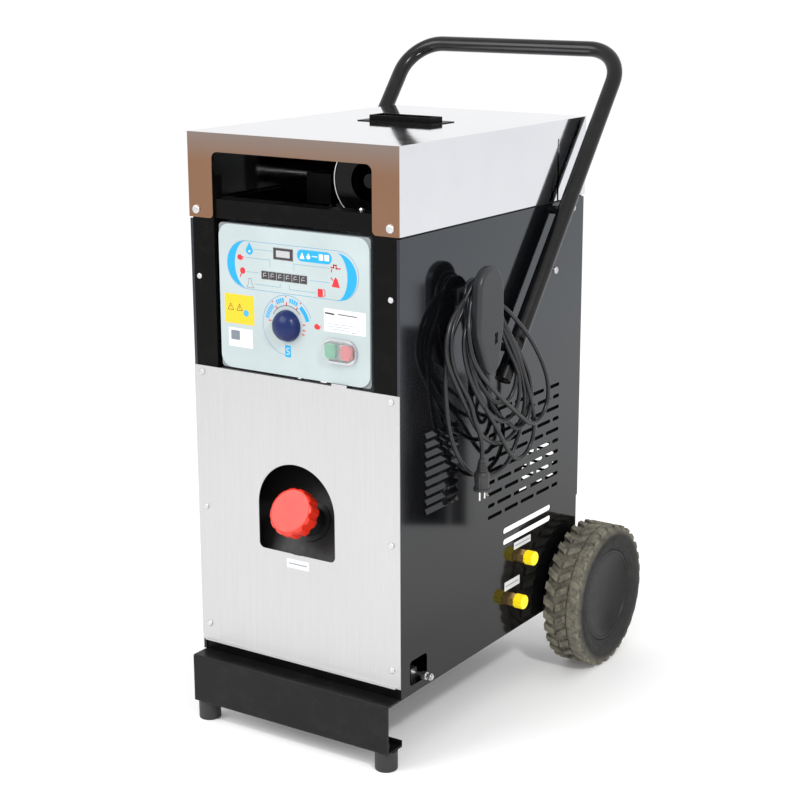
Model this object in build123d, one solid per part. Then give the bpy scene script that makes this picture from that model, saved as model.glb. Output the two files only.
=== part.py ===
from build123d import *
import math
import os

# Hot-water pressure washer in a tall wheeled cabinet.
# Units are millimetres. The parts are drawn in the cabinet's own frame: x is centred, y runs back
# from the hood's front face, and z runs up from the side panels' lower edge. At export every part
# moves so that the origin lies on the floor, under the middle of the whole machine.

# ---- driving dimensions ----
HALF_WIDTH = 250.0         # cabinet half width
PANEL_REAR = 719.7         # rear edge of the side panels
SIDE_TOP = 913.0           # top edge of the side panels
HOOD_BOTTOM = 916.5
HOOD_TOP = 1084.4
HOOD_DEPTH = 726.0
HOOD_OPEN_HALF = 190.0     # half width of the opening in the hood's front
HOOD_OPEN_TOP = 1047.5
SHEET = 2.0                # sheet metal of the covers
PLATE = 4.0                # thicker folded plate of the foot bracket
GAP = 0.3                  # play between neighbouring parts
FLOOR_DROP = 144.0         # side panels' lower edge above the floor

BRACKET_FRONT = -39.0
BRACKET_HALF = 245.0
BRACKET_BOTTOM = -103.5

WHEEL_RADIUS = 160.0
WHEEL_WIDTH = 94.0
WHEEL_OUTER_X = 354.0
RIM_RADIUS = 103.0
AXLE_Y = 701.7
AXLE_Z = WHEEL_RADIUS - FLOOR_DROP
AXLE_RADIUS = 10.0
RUN_PLAY = 0.05            # radial play of every running fit

HANDLE_TUBE_RADIUS = 17.0
HANDLE_WALL = 2.5
HANDLE_X = 277.0           # tube axis of each leg
HANDLE_FOOT = (337.7, 585.0)
HANDLE_BAR = (845.5, 1219.8)
HANDLE_BEND = 85.0
LEG_BOLT_HEIGHTS = (640.0, 898.0)

FRONT_PANEL_TOP = 615.5
FRONT_PANEL_BOTTOM = 23.0
ARCH_CENTRE = (1.5, 348.0)
ARCH_RADIUS = 94.0
ARCH_BOTTOM = 255.0

PLATE_HALF = 180.5         # control plate
PLATE_Z = (620.5, 909.0)
PLATE_FACE = 4.0
KNOB_AT = (-14.0, 721.0)
SWITCH_AT = (112.0, 685.0)
BUTTON_OFFSET = 19.0

CAP_CENTRE = (-2.0, -3.0, 343.0)
NECK_TILT = 30.0           # the filler neck's axis above the horizontal
CAP_RADIUS = 49.0
NECK_RADIUS = 30.0

OUTLET_AT = (468.0, 161.0)
INLET_AT = (426.0, 75.0)

HOOK_ROUNDS = ((228.0, 790.0, 46.0), (227.0, 716.0, 48.5), (234.0, 646.0, 26.0))   # y, z, radius
HOOK_X = (296.0, 316.0)
CORD_RADIUS = 4.5

Y_MIDDLE = (BRACKET_FRONT + HANDLE_BAR[0] + HANDLE_TUBE_RADIUS) / 2
TO_FLOOR_FRAME = Location((0, -Y_MIDDLE, FLOOR_DROP))


# ---- helpers ----
def block(x0, x1, y0, y1, z0, z1):
    """A box given by its limits."""
    centre = Pos((x0 + x1) / 2, (y0 + y1) / 2, (z0 + z1) / 2)
    return centre * Box(x1 - x0, y1 - y0, z1 - z0)


def rod(axis, radius, start, end, u, v):
    """A cylinder along one axis; u and v are its other two coordinates, in X, Y, Z order."""
    middle = (start + end) / 2
    solid = Cylinder(radius, end - start)
    if axis == "X":
        return Pos(middle, u, v) * Rot(0, 90, 0) * solid
    if axis == "Y":
        return Pos(u, middle, v) * Rot(90, 0, 0) * solid
    return Pos(u, v, middle) * solid


def hexagon(axis, across_flats, start, end, u, v):
    """A hexagonal prism along X or Y."""
    profile = RegularPolygon(across_flats / math.sqrt(3), 6)
    solid = extrude(profile, end - start)
    if axis == "X":
        return Pos(start, u, v) * Rot(0, 90, 0) * solid
    return Pos(u, end, v) * Rot(90, 0, 0) * solid


def rounded_block(x0, x1, y0, y1, z0, z1, radius):
    """A slab whose outline, seen along Y, has rounded corners."""
    outline = RectangleRounded(x1 - x0, z1 - z0, radius)
    slab = extrude(outline, y1 - y0)
    return Pos((x0 + x1) / 2, y1, (z0 + z1) / 2) * Rot(90, 0, 0) * slab


def side_profile(outline, x0, x1, y, z):
    """A slab between two x planes; its outline is seen from the right, centred on (y, z)."""
    return extrude(Plane.YZ.offset(x0) * (Pos(y, z) * outline), x1 - x0)


def slot_along_y(x0, x1, y0, y1, z, height):
    """A slot cutter through a side panel, with round ends."""
    return side_profile(SlotOverall(y1 - y0, height), x0, x1, (y0 + y1) / 2, z)


def both_sides(shape):
    """The shape and its mirror image, as one group."""
    return group([shape, mirror(shape, about=Plane.YZ)])


def group(shapes):
    """Separate solids in one node."""
    solids = []
    for shape in shapes:
        solids.extend(shape.solids())
    return Compound(solids)


def leg_point(z):
    """The y of the handle leg's axis at height z."""
    share = (z - HANDLE_FOOT[1]) / (HANDLE_BAR[1] - HANDLE_FOOT[1])
    return HANDLE_FOOT[0] + share * (HANDLE_BAR[0] - HANDLE_FOOT[0])


# ---- fasteners ----
# Each row: head face, head radius, head height, shank length, places. Every place is used on both sides.
FRONT_SCREWS = (
    (0.0, 6.5, 3.6, 7.0, ((230.0, 602.0), (230.0, 317.0), (230.0, 60.0))),
    (2.3, 6.0, 3.4, 7.0, ((230.0, 798.0),)),
    (0.0, 9.0, 5.0, 7.0, ((231.0, 932.0),)),
)
SIDE_SCREWS = ((673.0, 893.0), (599.0, 767.0))
REAR_SCREWS = ((238.0, 250.0), (238.0, 580.0), (238.0, 895.0))
SHANK_RADIUS = 2.5


def screw(head_radius, head_height, shank_length):
    """A dome-head screw standing on z = 0, with its shank below."""
    low = (Align.CENTER, Align.CENTER, Align.MIN)
    high = (Align.CENTER, Align.CENTER, Align.MAX)
    head = Cylinder(head_radius, head_height, align=low)
    head = fillet(head.edges().group_by(Axis.Z)[-1], head_height * 0.8)
    return head + Cylinder(SHANK_RADIUS, shank_length, align=high)


def panel_screws():
    """All the dome-head screws of the covers."""
    screws = []
    for face, radius, height, shank, places in FRONT_SCREWS:
        for x, z in places:
            screws.append(Pos(x, face, z) * Rot(90, 0, 0) * screw(radius, height, shank))
    for y, z in SIDE_SCREWS:
        screws.append(Pos(HALF_WIDTH, y, z) * Rot(0, 90, 0) * screw(8, 4.5, 5))
    for x, z in REAR_SCREWS:
        screws.append(Pos(x, 722, z) * Rot(-90, 0, 0) * screw(6, 3.5, 14))
    return both_sides(group(screws))


def drilled(shape):
    """The shape with clearance holes for the cover screws."""
    radius = SHANK_RADIUS + 0.2
    holes = []
    for face, _, _, _, places in FRONT_SCREWS:
        holes.extend(rod("Y", radius, face - 1, 10, x, z) for x, z in places)
    holes.extend(rod("X", radius, 240, 252, y, z) for y, z in SIDE_SCREWS)
    holes.extend(rod("Y", radius, 705, 723, x, z) for x, z in REAR_SCREWS)
    return shape - both_sides(group(holes))


# ---- chassis ----
TRAY_HALF = 247.4
LUG_X = (222.0, 232.0)
SQUARE_HOLE = (33.0, 95.0, 17.0, 70.0)


def base_tray():
    """Folded floor tray with two welded lugs that carry the axle."""
    tray = block(-TRAY_HALF, TRAY_HALF, 5, 716, 0, SHEET)
    tray += block(-TRAY_HALF, TRAY_HALF, 5, 7, 0, 52)
    tray += block(-TRAY_HALF, TRAY_HALF, 714, 716, 0, 14)
    for side in (-1, 1):
        inner, outer = sorted((side * TRAY_HALF, side * (TRAY_HALF - SHEET)))
        tray += block(inner, outer, 110, 716, 0, 40)
        near, far = sorted((side * LUG_X[0], side * LUG_X[1]))
        tray += block(near, far, 672, 714, 0, 48)
    tray -= rod("X", AXLE_RADIUS + 0.15, -HALF_WIDTH, HALF_WIDTH, AXLE_Y, AXLE_Z)
    return tray


def frame_posts():
    """Two folded front uprights, two square rear tubes and the rails that join them under the hood."""
    face = block(HOOD_OPEN_HALF, 242.5, 2.3, 4.3, 62, 1000)
    inner = block(HOOD_OPEN_HALF, HOOD_OPEN_HALF + SHEET, 2.3, 30, 62, 1000)
    outer = block(240.5, 242.5, 2.3, 30, 62, 1000)
    front = face + inner + outer
    rear = block(222, 242, 690, 710, 52, 1000) - block(224, 240, 692, 708, 52, 1000)
    side_rail = block(232, 240.5, 30, 690, 917, 945)
    rear_rail = block(-222, 222, 700, 710, 915, 945)
    shapes = [both_sides(front), both_sides(rear), both_sides(side_rail), rear_rail]
    return group(drilled(group(shapes)).solids())


def front_cross_bar():
    """Folded bar across the front, between the control box and the hood's opening."""
    half = HOOD_OPEN_HALF - GAP
    bar = block(-half, half, 6, 8, 917, 955)
    bar += block(-half, half, 6, 46, 953, 955)
    bar += block(-half, half, 6, 20, 917, 919)
    return bar


SLOT_ROWS = 10
SLOT_FIRST_Z = 284.5
SLOT_PITCH_Z = 25.23
SLOT_START_Y = 327.0
SLOT_LENGTH = 57.0
SLOT_PITCH_Y = 68.0
SHORT_SLOT = 27.0
LOUVRE_Y = (87.0, 204.5)
LOUVRE_FIRST_Z = 363.0
LOUVRE_PITCH = 19.2
LOUVRES = 9
LONG_SLOTS_Z = (237.0, 212.0)
LONG_SLOT_Y = (392.0, 597.0)


def slot_row(row):
    """One row of the vent field; alternate rows start with the short slot."""
    z = SLOT_FIRST_Z + row * SLOT_PITCH_Z
    bridge = SLOT_PITCH_Y - SLOT_LENGTH
    offset = SHORT_SLOT + bridge if row % 2 else 0.0
    short_start = SLOT_START_Y if row % 2 else SLOT_START_Y + 4 * SLOT_PITCH_Y
    cutter = slot_along_y(245, 255, short_start, short_start + SHORT_SLOT, z, 8)
    for index in range(4):
        start = SLOT_START_Y + offset + index * SLOT_PITCH_Y
        cutter += slot_along_y(245, 255, start, start + SLOT_LENGTH, z, 8)
    return cutter


def louvre(z):
    """A pressed hood over one vent slit."""
    with BuildPart() as hood:
        with BuildSketch(Plane.XZ.offset(-LOUVRE_Y[0])):
            with BuildLine():
                Polyline((249, z + 7), (250, z + 7), (254.5, z - 3), (253.2, z - 3), (249, z + 5),
                         close=True)
            make_face()
        extrude(amount=-(LOUVRE_Y[1] - LOUVRE_Y[0]))
    return hood.part


def side_panel():
    """The right-hand side sheet, folded in along its front, top and rear."""
    inner = HALF_WIDTH - SHEET
    panel = block(inner, HALF_WIDTH, 2.3, PANEL_REAR, 0, SIDE_TOP)
    panel += block(243.2, HALF_WIDTH, 2.3, 4.3, 0, SIDE_TOP)
    panel += block(243.2, HALF_WIDTH, PANEL_REAR - SHEET, PANEL_REAR, 233, SIDE_TOP)
    panel += block(243.2, HALF_WIDTH, 2.3, PANEL_REAR, SIDE_TOP - SHEET, SIDE_TOP)
    panel -= block(inner - 1, HALF_WIDTH + 1, 716, 730, -1, 233)
    panel -= rod("X", AXLE_RADIUS + 2, 240, 260, AXLE_Y, AXLE_Z)
    for height in LEG_BOLT_HEIGHTS:
        panel -= rod("X", 4.2, 240, 260, leg_point(height), height)
    for row in range(SLOT_ROWS):
        panel -= slot_row(row)
    for index in range(LOUVRES):
        z = LOUVRE_FIRST_Z + index * LOUVRE_PITCH
        panel -= block(245, 255, LOUVRE_Y[0] + 2, LOUVRE_Y[1] - 2, z - 3, z + 4)
        panel += louvre(z)
    for z in LONG_SLOTS_Z:
        panel -= slot_along_y(245, 255, LONG_SLOT_Y[0], LONG_SLOT_Y[1], z, 13)
    return drilled(panel)


def side_panel_right():
    """The side with the water connections, the hook and the drain hole."""
    y0, y1, z0, z1 = SQUARE_HOLE
    outline = RectangleRounded(y1 - y0, z1 - z0, 9)
    panel = side_panel() - side_profile(outline, 245, 255, (y0 + y1) / 2, (z0 + z1) / 2)
    for y, z in (OUTLET_AT, INLET_AT):
        panel -= rod("X", 10.3, 245, 255, y, z)
    return panel


def side_panel_left():
    """The other side, with the same vents and no connections."""
    return mirror(side_panel(), about=Plane.YZ)


REAR_VENT_X = 146.0
REAR_VENT_LENGTH = 84.0
REAR_VENTS = 6


def rear_cover():
    """Screwed cover over the upper rear, with two groups of cooling slots low down."""
    cover = block(-249.5, 249.5, 720, 722, 233, 911)
    for column in (-REAR_VENT_X, REAR_VENT_X):
        for row in range(REAR_VENTS):
            cutter = extrude(SlotOverall(REAR_VENT_LENGTH, 11), 10)
            cover -= Pos(column, 726, 251 + row * 17) * Rot(90, 0, 0) * cutter
    return drilled(cover)


def top_hood():
    """Polished hood: a box open below, with a wide opening in its front."""
    hood = block(-HALF_WIDTH, HALF_WIDTH, 0, HOOD_DEPTH, HOOD_BOTTOM, HOOD_TOP)
    hood -= block(-HALF_WIDTH + SHEET, HALF_WIDTH - SHEET, SHEET, HOOD_DEPTH - SHEET,
                  HOOD_BOTTOM - 1, HOOD_TOP - SHEET)
    opening = rounded_block(-HOOD_OPEN_HALF, HOOD_OPEN_HALF, -5, 5, 800, HOOD_OPEN_TOP, 14)
    hood -= opening
    for side in (-1, 1):
        corner = Pos(side * (HOOD_OPEN_HALF + 4.5), 1, HOOD_BOTTOM + 4.5) * Box(9, 4, 9)
        round_off = rod("Y", 9, -1, 3, side * (HOOD_OPEN_HALF + 9), HOOD_BOTTOM + 9)
        hood -= corner - round_off
        near, far = sorted((side * 240, side * 260))
        hood -= block(near, far, 599.5, 606.5, 900, 1043)
        hood -= rod("X", 3.5, near, far, 603, 1043)
    hood -= block(-78, 68, 384, 428, HOOD_TOP - 5, HOOD_TOP + 5)
    return drilled(hood)


def flue_collar():
    """Flanged rectangular exhaust outlet on top of the hood."""
    base = HOOD_TOP
    collar = block(-98, 88, 364, 448, base, base + 1.6)
    collar += block(-80, 70, 382, 430, base, base + 12)
    collar -= block(-78, 68, 384, 428, base - 1, base + 13)
    return collar


def front_panel():
    """Lower front sheet with an arched opening for the fuel cap."""
    panel = block(-249.5, 249.5, 0, SHEET, FRONT_PANEL_BOTTOM, FRONT_PANEL_TOP)
    panel += block(-186, 186, 0, 14, FRONT_PANEL_TOP - SHEET, FRONT_PANEL_TOP)
    panel += block(-240, 240, -5, SHEET, FRONT_PANEL_BOTTOM, FRONT_PANEL_BOTTOM + SHEET)
    panel += block(92, 128, 0, SHEET, FRONT_PANEL_TOP - 1, FRONT_PANEL_TOP + 5)
    x, z = ARCH_CENTRE
    arch = rod("Y", ARCH_RADIUS, -3, 5, x, z)
    arch += rounded_block(x - ARCH_RADIUS, x + ARCH_RADIUS, -3, 5, ARCH_BOTTOM, z + 30, 12)
    arch -= block(x - 120, x + 120, -9, 9, z + 0.01, z + 200) - rod("Y", ARCH_RADIUS, -9, 9, x, z)
    return drilled(panel - arch)


def foot_bracket():
    """Folded channel under the cabinet's front edge, which carries the two feet."""
    back = BRACKET_FRONT + PLATE
    top = -GAP
    half = BRACKET_HALF
    bracket = block(-half, half, BRACKET_FRONT, back, BRACKET_BOTTOM, top)
    bracket += block(-half, half, BRACKET_FRONT, 75, top - PLATE, top)
    bracket += block(-half, half, BRACKET_FRONT, 12, BRACKET_BOTTOM, BRACKET_BOTTOM + PLATE)
    bracket += block(-half, half, 9, 12, BRACKET_BOTTOM, BRACKET_BOTTOM + 14)
    corner = bracket.edges().filter_by(Axis.X).sort_by(Axis.Y)[:2]
    bracket = fillet(corner, 3.5)
    for side in (-1, 1):
        bracket -= rod("Z", 5, -110, -90, side * FOOT_X, FOOT_Y)
    return bracket


FOOT_X = 225.0
FOOT_Y = -14.5
FOOT_RADIUS = 23.0


def front_feet():
    """Two turned rubber feet with a moulded-in stud."""
    foot = rod("Z", FOOT_RADIUS, -FLOOR_DROP, BRACKET_BOTTOM, FOOT_X, FOOT_Y)
    foot = fillet(foot.edges().group_by(Axis.Z)[0], 3)
    foot += rod("Z", 4.8, BRACKET_BOTTOM, -88, FOOT_X, FOOT_Y)
    foot += hexagon_nut_z(FOOT_X, FOOT_Y, BRACKET_BOTTOM + PLATE)
    return both_sides(foot)


def hexagon_nut_z(x, y, z):
    """An M8 nut standing on height z."""
    nut = extrude(RegularPolygon(7.5, 6), 6.5)
    return Pos(x, y, z) * nut


# ---- handle ----
def handle_tube():
    """Bent tube: two sloping legs outside the cabinet and a bar across the top."""
    corners = [
        (HANDLE_X, HANDLE_FOOT[0], HANDLE_FOOT[1]),
        (HANDLE_X, HANDLE_BAR[0], HANDLE_BAR[1]),
        (-HANDLE_X, HANDLE_BAR[0], HANDLE_BAR[1]),
        (-HANDLE_X, HANDLE_FOOT[0], HANDLE_FOOT[1]),
    ]
    path = FilletPolyline(*corners, radius=HANDLE_BEND)
    start = Plane(origin=path @ 0, z_dir=path % 0)
    section = Circle(HANDLE_TUBE_RADIUS) - Circle(HANDLE_TUBE_RADIUS - HANDLE_WALL)
    tube = sweep(start * section, path=path)
    for side in (-1, 1):
        near, far = sorted((side * 255, side * (HANDLE_X - 8)))
        for height in LEG_BOLT_HEIGHTS:
            tube -= rod("X", 4.2, near, far, leg_point(height), height)
    return tube


def handle_fixings():
    """Saddle spacers, bolts and the plugs in the legs' lower ends."""
    rise = math.atan2(HANDLE_BAR[1] - HANDLE_FOOT[1], HANDLE_BAR[0] - HANDLE_FOOT[0])
    lean = 90 - math.degrees(rise)
    long_leg = Cylinder(HANDLE_TUBE_RADIUS, 1200, align=(Align.CENTER, Align.CENTER, Align.CENTER))
    leg = Pos(HANDLE_X, HANDLE_FOOT[0], HANDLE_FOOT[1]) * Rot(-lean, 0, 0) * long_leg
    pieces = []
    for height in LEG_BOLT_HEIGHTS:
        y = leg_point(height)
        spacer = rod("X", 9, HALF_WIDTH, 268, y, height) - leg
        bolt = rod("X", 4, 236, 266, y, height)
        head = hexagon("X", 13, 241.5, HALF_WIDTH - SHEET, y, height)
        pieces.append(spacer + bolt + head)
    plug = Cylinder(HANDLE_TUBE_RADIUS - HANDLE_WALL, 18,
                    align=(Align.CENTER, Align.CENTER, Align.MIN))
    plug += Cylinder(HANDLE_TUBE_RADIUS, 3, align=(Align.CENTER, Align.CENTER, Align.MAX))
    pieces.append(Pos(HANDLE_X, HANDLE_FOOT[0], HANDLE_FOOT[1]) * Rot(-lean, 0, 0) * plug)
    return both_sides(group(pieces))


# ---- wheels ----
def turned(points, side):
    """A solid of revolution about the wheel's axis, from (distance out, radius) points."""
    with BuildPart() as solid:
        with BuildSketch(Plane.XY):
            with BuildLine():
                Polyline(*[(side * x, r) for x, r in points], close=True)
            make_face()
        revolve(axis=Axis.X)
    return Pos(0, AXLE_Y, AXLE_Z) * solid.part


def tyre(side):
    """Tyre with square shoulders, a flat tread and sloping sidewalls."""
    inner = WHEEL_OUTER_X - WHEEL_WIDTH
    outer = WHEEL_OUTER_X
    seat = RIM_RADIUS + GAP
    points = [
        (inner + 12, seat), (inner, seat + 14), (inner, WHEEL_RADIUS - 16),
        (inner + 8, WHEEL_RADIUS - 4), (inner + 22, WHEEL_RADIUS), (outer - 22, WHEEL_RADIUS),
        (outer - 8, WHEEL_RADIUS - 4), (outer, WHEEL_RADIUS - 16), (outer, seat + 14),
        (outer - 12, seat),
    ]
    return turned(points, side)


def rim(side):
    """Rim barrel, web and a hub that runs on the axle."""
    inner = WHEEL_OUTER_X - WHEEL_WIDTH
    bore = AXLE_RADIUS + RUN_PLAY
    points = [
        (inner + 2, bore), (inner + 2, 26), (inner + 34, 26), (inner + 34, RIM_RADIUS - 6),
        (inner + 10, RIM_RADIUS - 6), (inner + 10, RIM_RADIUS), (WHEEL_OUTER_X - 14, RIM_RADIUS),
        (WHEEL_OUTER_X - 14, RIM_RADIUS - 6), (inner + 40, RIM_RADIUS - 6), (inner + 40, 26),
        (inner + 48, 26), (inner + 48, bore),
    ]
    return turned(points, side)


COVER_EDGE_X = WHEEL_OUTER_X - 16
COVER_DEPTH = 18.0


def wheel_cover(side):
    """Dished plastic cover that closes the rim and hides the hub."""
    radius = RIM_RADIUS - 6 - GAP
    centre = COVER_EDGE_X - COVER_DEPTH
    front = [(0, 0), (1.5, 0.25), (5, 0.5), (10.5, 0.75), (COVER_DEPTH, 1)]
    back = [(COVER_DEPTH - 8, 1), (7.5, 0.75), (2.2, 0.5), (-1, 0.25), (-2.5, 0)]
    points = [(centre + depth, share * radius) for depth, share in front + back]
    return turned(points, side)


def axle():
    """Solid axle with a shoulder washer inside each wheel and a clip outside it."""
    inner = WHEEL_OUTER_X - WHEEL_WIDTH
    end = inner + 52
    shaft = rod("X", AXLE_RADIUS, -end, end, AXLE_Y, AXLE_Z)
    for side in (-1, 1):
        for start, width, radius in ((HALF_WIDTH + GAP, 11, 17), (inner + 48.4, 2.5, 15)):
            near, far = sorted((side * start, side * (start + width)))
            shaft += rod("X", radius, near, far, AXLE_Y, AXLE_Z)
    return shaft


# ---- control panel ----
WINDOW_Z = 815.5
WINDOW_FIRST_X = -66.5
WINDOW_PITCH = 18.6
DISPLAY_AT = (-21.5, 860.5)


def window_places():
    """Centre and size of the display and the six indicator windows."""
    places = [(DISPLAY_AT[0], DISPLAY_AT[1], 45.0, 20.0)]
    for index in range(6):
        places.append((WINDOW_FIRST_X + index * WINDOW_PITCH, WINDOW_Z, 15.0, 14.0))
    return places


def control_box():
    """Grey housing behind the control plate, open at the rear."""
    z0, z1 = PLATE_Z
    half = PLATE_HALF + 1
    front = PLATE_FACE + 3
    box = rounded_block(-half, half, front, 100, z0 - 1, z1 + 1, 8)
    box -= block(-half + 3, half - 3, front + 3, 101, z0 + 2, z1 - 2)
    box -= rod("Y", 8, 0, 20, *KNOB_AT)
    x, z = SWITCH_AT
    box -= block(x - 34, x + 34, 0, 20, z - 16, z + 16)
    for cx, cz, width, height in window_places():
        box -= block(cx - width / 2, cx + width / 2, 0, 20, cz - height / 2, cz + height / 2)
    return box


def control_plate():
    """Front plate with cut-outs for the windows, the thermostat and the switch."""
    plate = rounded_block(-PLATE_HALF, PLATE_HALF, PLATE_FACE, PLATE_FACE + 3, *PLATE_Z, 26)
    plate -= rod("Y", 6, 0, 20, *KNOB_AT)
    x, z = SWITCH_AT
    for side in (-1, 1):
        centre = x + side * BUTTON_OFFSET
        plate -= block(centre - 10.3, centre + 10.3, 0, 20, z - 10.3, z + 10.3)
    for cx, cz, width, height in window_places():
        plate -= block(cx - width / 2, cx + width / 2, 0, 20, cz - height / 2, cz + height / 2)
    return plate


def display_windows():
    """The display and six indicator windows, each a dark tinted insert."""
    inserts = []
    for cx, cz, width, height in window_places():
        w, h = width / 2 - 0.2, height / 2 - 0.2
        inserts.append(block(cx - w, cx + w, PLATE_FACE - 0.6, PLATE_FACE + 5, cz - h, cz + h))
    return group(inserts)


def thermostat_body():
    """Thermostat behind the plate, with its round spindle."""
    body = rod("Y", 22, PLATE_FACE + 7, 48, *KNOB_AT)
    return body + rod("Y", 3, -12, PLATE_FACE + 8, *KNOB_AT)


def temperature_knob():
    """Domed knob that turns on the thermostat's spindle."""
    with BuildPart() as knob:
        with BuildSketch(Plane.XY):
            with BuildLine():
                Line((0, 0), (31.5, 0))
                Line((31.5, 0), (30.5, 8))
                ThreePointArc((30.5, 8), (22, 20.5), (4, 26))
                Line((4, 26), (0, 26))
                Line((0, 26), (0, 0))
            make_face()
        revolve(axis=Axis.Y)
    solid = knob.part - Pos(0, 7.5, 0) * Rot(90, 0, 0) * Cylinder(3 + RUN_PLAY, 16)
    face = PLATE_FACE - 0.6
    return Pos(KNOB_AT[0], face, KNOB_AT[1]) * Rot(0, 0, 180) * solid


def switch_bezel():
    """Silver rim around the start and stop buttons."""
    x, z = SWITCH_AT
    rim_solid = rounded_block(x - 39.5, x + 39.5, 0, PLATE_FACE, z - 24.5, z + 24.5, 22)
    rim_solid -= rounded_block(x - 34.5, x + 34.5, -1, PLATE_FACE + 1, z - 18.5, z + 18.5, 15)
    return rim_solid


def push_button(side):
    """Rounded push button with a square guide stem."""
    x = SWITCH_AT[0] + side * BUTTON_OFFSET
    z = SWITCH_AT[1]
    head = rounded_block(x - 13, x + 13, -6, 0.5, z - 14.5, z + 14.5, 8)
    head = fillet(head.faces().sort_by(Axis.Y)[0].edges(), 2)
    return head + block(x - 10, x + 10, 0.5, 20, z - 10, z + 10)


def switch_boot():
    """Clear flexible cover over both buttons."""
    x, z = SWITCH_AT
    boot = rounded_block(x - 34.2, x + 34.2, -10.5, PLATE_FACE, z - 18.2, z + 18.2, 14)
    boot = fillet(boot.faces().sort_by(Axis.Y)[0].edges(), 4)
    return boot - rounded_block(x - 33, x + 33, -9.3, PLATE_FACE + 1, z - 17, z + 17, 13)


def relay_module():
    """Contactor, overload relay and terminal rail inside the control box."""
    module = block(-150, -60, 30, 92, 760, 850)
    module += block(-60, 20, 40, 92, 760, 830)
    module += block(-160, 160, 92, 96, 740, 870)
    module += block(SWITCH_AT[0] - 34, SWITCH_AT[0] + 34, 25, 92, 665, 760)
    return module


# ---- fuel system ----
def neck_frame(distance):
    """Location on the filler neck's axis, with z along it, this far out from the cap's middle."""
    tilt = math.radians(NECK_TILT)
    x, y, z = CAP_CENTRE
    place = (x, y - distance * math.cos(tilt), z + distance * math.sin(tilt))
    return Location(place) * Rot(90 - NECK_TILT, 0, 0)


NECK_FOOT = -75.0          # the tank's sloping face, measured along the neck from the cap's middle
TANK_HALF = 187.0
TANK_TOP = 400.0


def tank_outline(inset):
    """The fuel tank's section across its width, drawn in by the wall thickness."""
    tilt = math.radians(NECK_TILT)
    foot_y = CAP_CENTRE[1] - (NECK_FOOT - inset) * math.cos(tilt)
    foot_z = CAP_CENTRE[2] + (NECK_FOOT - inset) * math.sin(tilt)
    front, rear = 14 + inset, 215 - inset
    bottom, top = 30 + inset, TANK_TOP - inset
    slope = math.tan(math.radians(90 - NECK_TILT))
    low = foot_z - (foot_y - front) * slope
    upper = foot_y + (top - foot_z) / slope
    return [(front, bottom), (rear, bottom), (rear, top), (upper, top), (front, low)]


def tank_body(half, inset):
    """A prism with the tank's section, this wide to each side."""
    with BuildPart() as body:
        with BuildSketch(Plane.YZ.offset(-half)):
            with BuildLine():
                Polyline(*tank_outline(inset), close=True)
            make_face()
        extrude(amount=2 * half)
    return body.part


def fuel_tank():
    """Blow-moulded fuel tank; its sloping face carries the filler neck."""
    wall = 4.0
    outer = tank_body(TANK_HALF, 0)
    outer = fillet(outer.edges().filter_by(Axis.X), 10)
    tank = outer - tank_body(TANK_HALF - wall, wall)
    hole = Cylinder(NECK_RADIUS - 4, 30)
    return tank - neck_frame(NECK_FOOT) * hole


def fuel_neck():
    """Flanged filler neck."""
    low = (Align.CENTER, Align.CENTER, Align.MIN)
    neck = Cylinder(40, 4, align=low) + Cylinder(NECK_RADIUS, 68, align=low)
    neck -= Cylinder(NECK_RADIUS - 4, 200)
    return neck_frame(NECK_FOOT + 0.1) * neck


CAP_DEPTH = 32.0
CAP_LOBES = 12


def fuel_cap():
    """Moulded cap with finger lobes around its rim."""
    low = (Align.CENTER, Align.CENTER, Align.MIN)
    cap = Cylinder(CAP_RADIUS, CAP_DEPTH, align=low)
    cap = fillet(cap.edges().group_by(Axis.Z)[-1], 7)
    for index in range(CAP_LOBES):
        turn = Rot(0, 0, index * 360 / CAP_LOBES)
        cap -= turn * Pos(CAP_RADIUS + 5.5, 0, -1) * Cylinder(9, CAP_DEPTH + 2, align=low)
    cap -= Cylinder(NECK_RADIUS + 0.06, 22, align=low)
    return neck_frame(-CAP_DEPTH / 2) * cap


def cap_gasket():
    """Flat seal inside the cap."""
    low = (Align.CENTER, Align.CENTER, Align.MIN)
    ring = Cylinder(29.5, 3, align=low) - Cylinder(21, 10)
    return neck_frame(-CAP_DEPTH / 2 + 18.5) * ring


# ---- boiler and burner ----
BOILER_AT = (0.0, 400.0)
BOILER_RADIUS = 172.0
BOILER_Z = (300.0, 905.0)
DRUM_WALL = 4.0
BURNER_AT = (102.0, 998.0)
BURNER_Y = (112.0, 180.0)
BURNER_RADIUS = 78.0
BLAST_TUBE_AT = (100.0, 300.0)


def boiler_shell():
    """Insulated boiler drum with openings for the burner and the flue."""
    z0, z1 = BOILER_Z
    drum = rod("Z", BOILER_RADIUS, z0, z1, *BOILER_AT)
    drum = fillet(drum.edges(), 8)
    drum -= rod("Z", BOILER_RADIUS - DRUM_WALL, z0 + DRUM_WALL, z1 - DRUM_WALL, *BOILER_AT)
    drum -= rod("Z", 36, z1 - 20, z1 + 5, *BLAST_TUBE_AT)
    drum -= block(-74, 64, 386, 426, z1 - 20, z1 + 5)
    return drum


def heating_coil():
    """Helical water coil inside the drum."""
    x, y = BOILER_AT
    turns = Helix(pitch=42, height=504, radius=130)
    coil = sweep(Plane(origin=turns @ 0, z_dir=turns % 0) * Circle(9), path=turns, is_frenet=True)
    return Pos(x, y, 345) * coil


def flue_duct():
    """Rectangular exhaust duct from the drum to the collar."""
    z0, z1 = BOILER_Z[1] + GAP, HOOD_TOP - 6
    duct = block(-77, 67, 385, 427, z0, z1)
    return duct - block(-75, 65, 387, 425, z0 - 1, z1 + 1)


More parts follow.
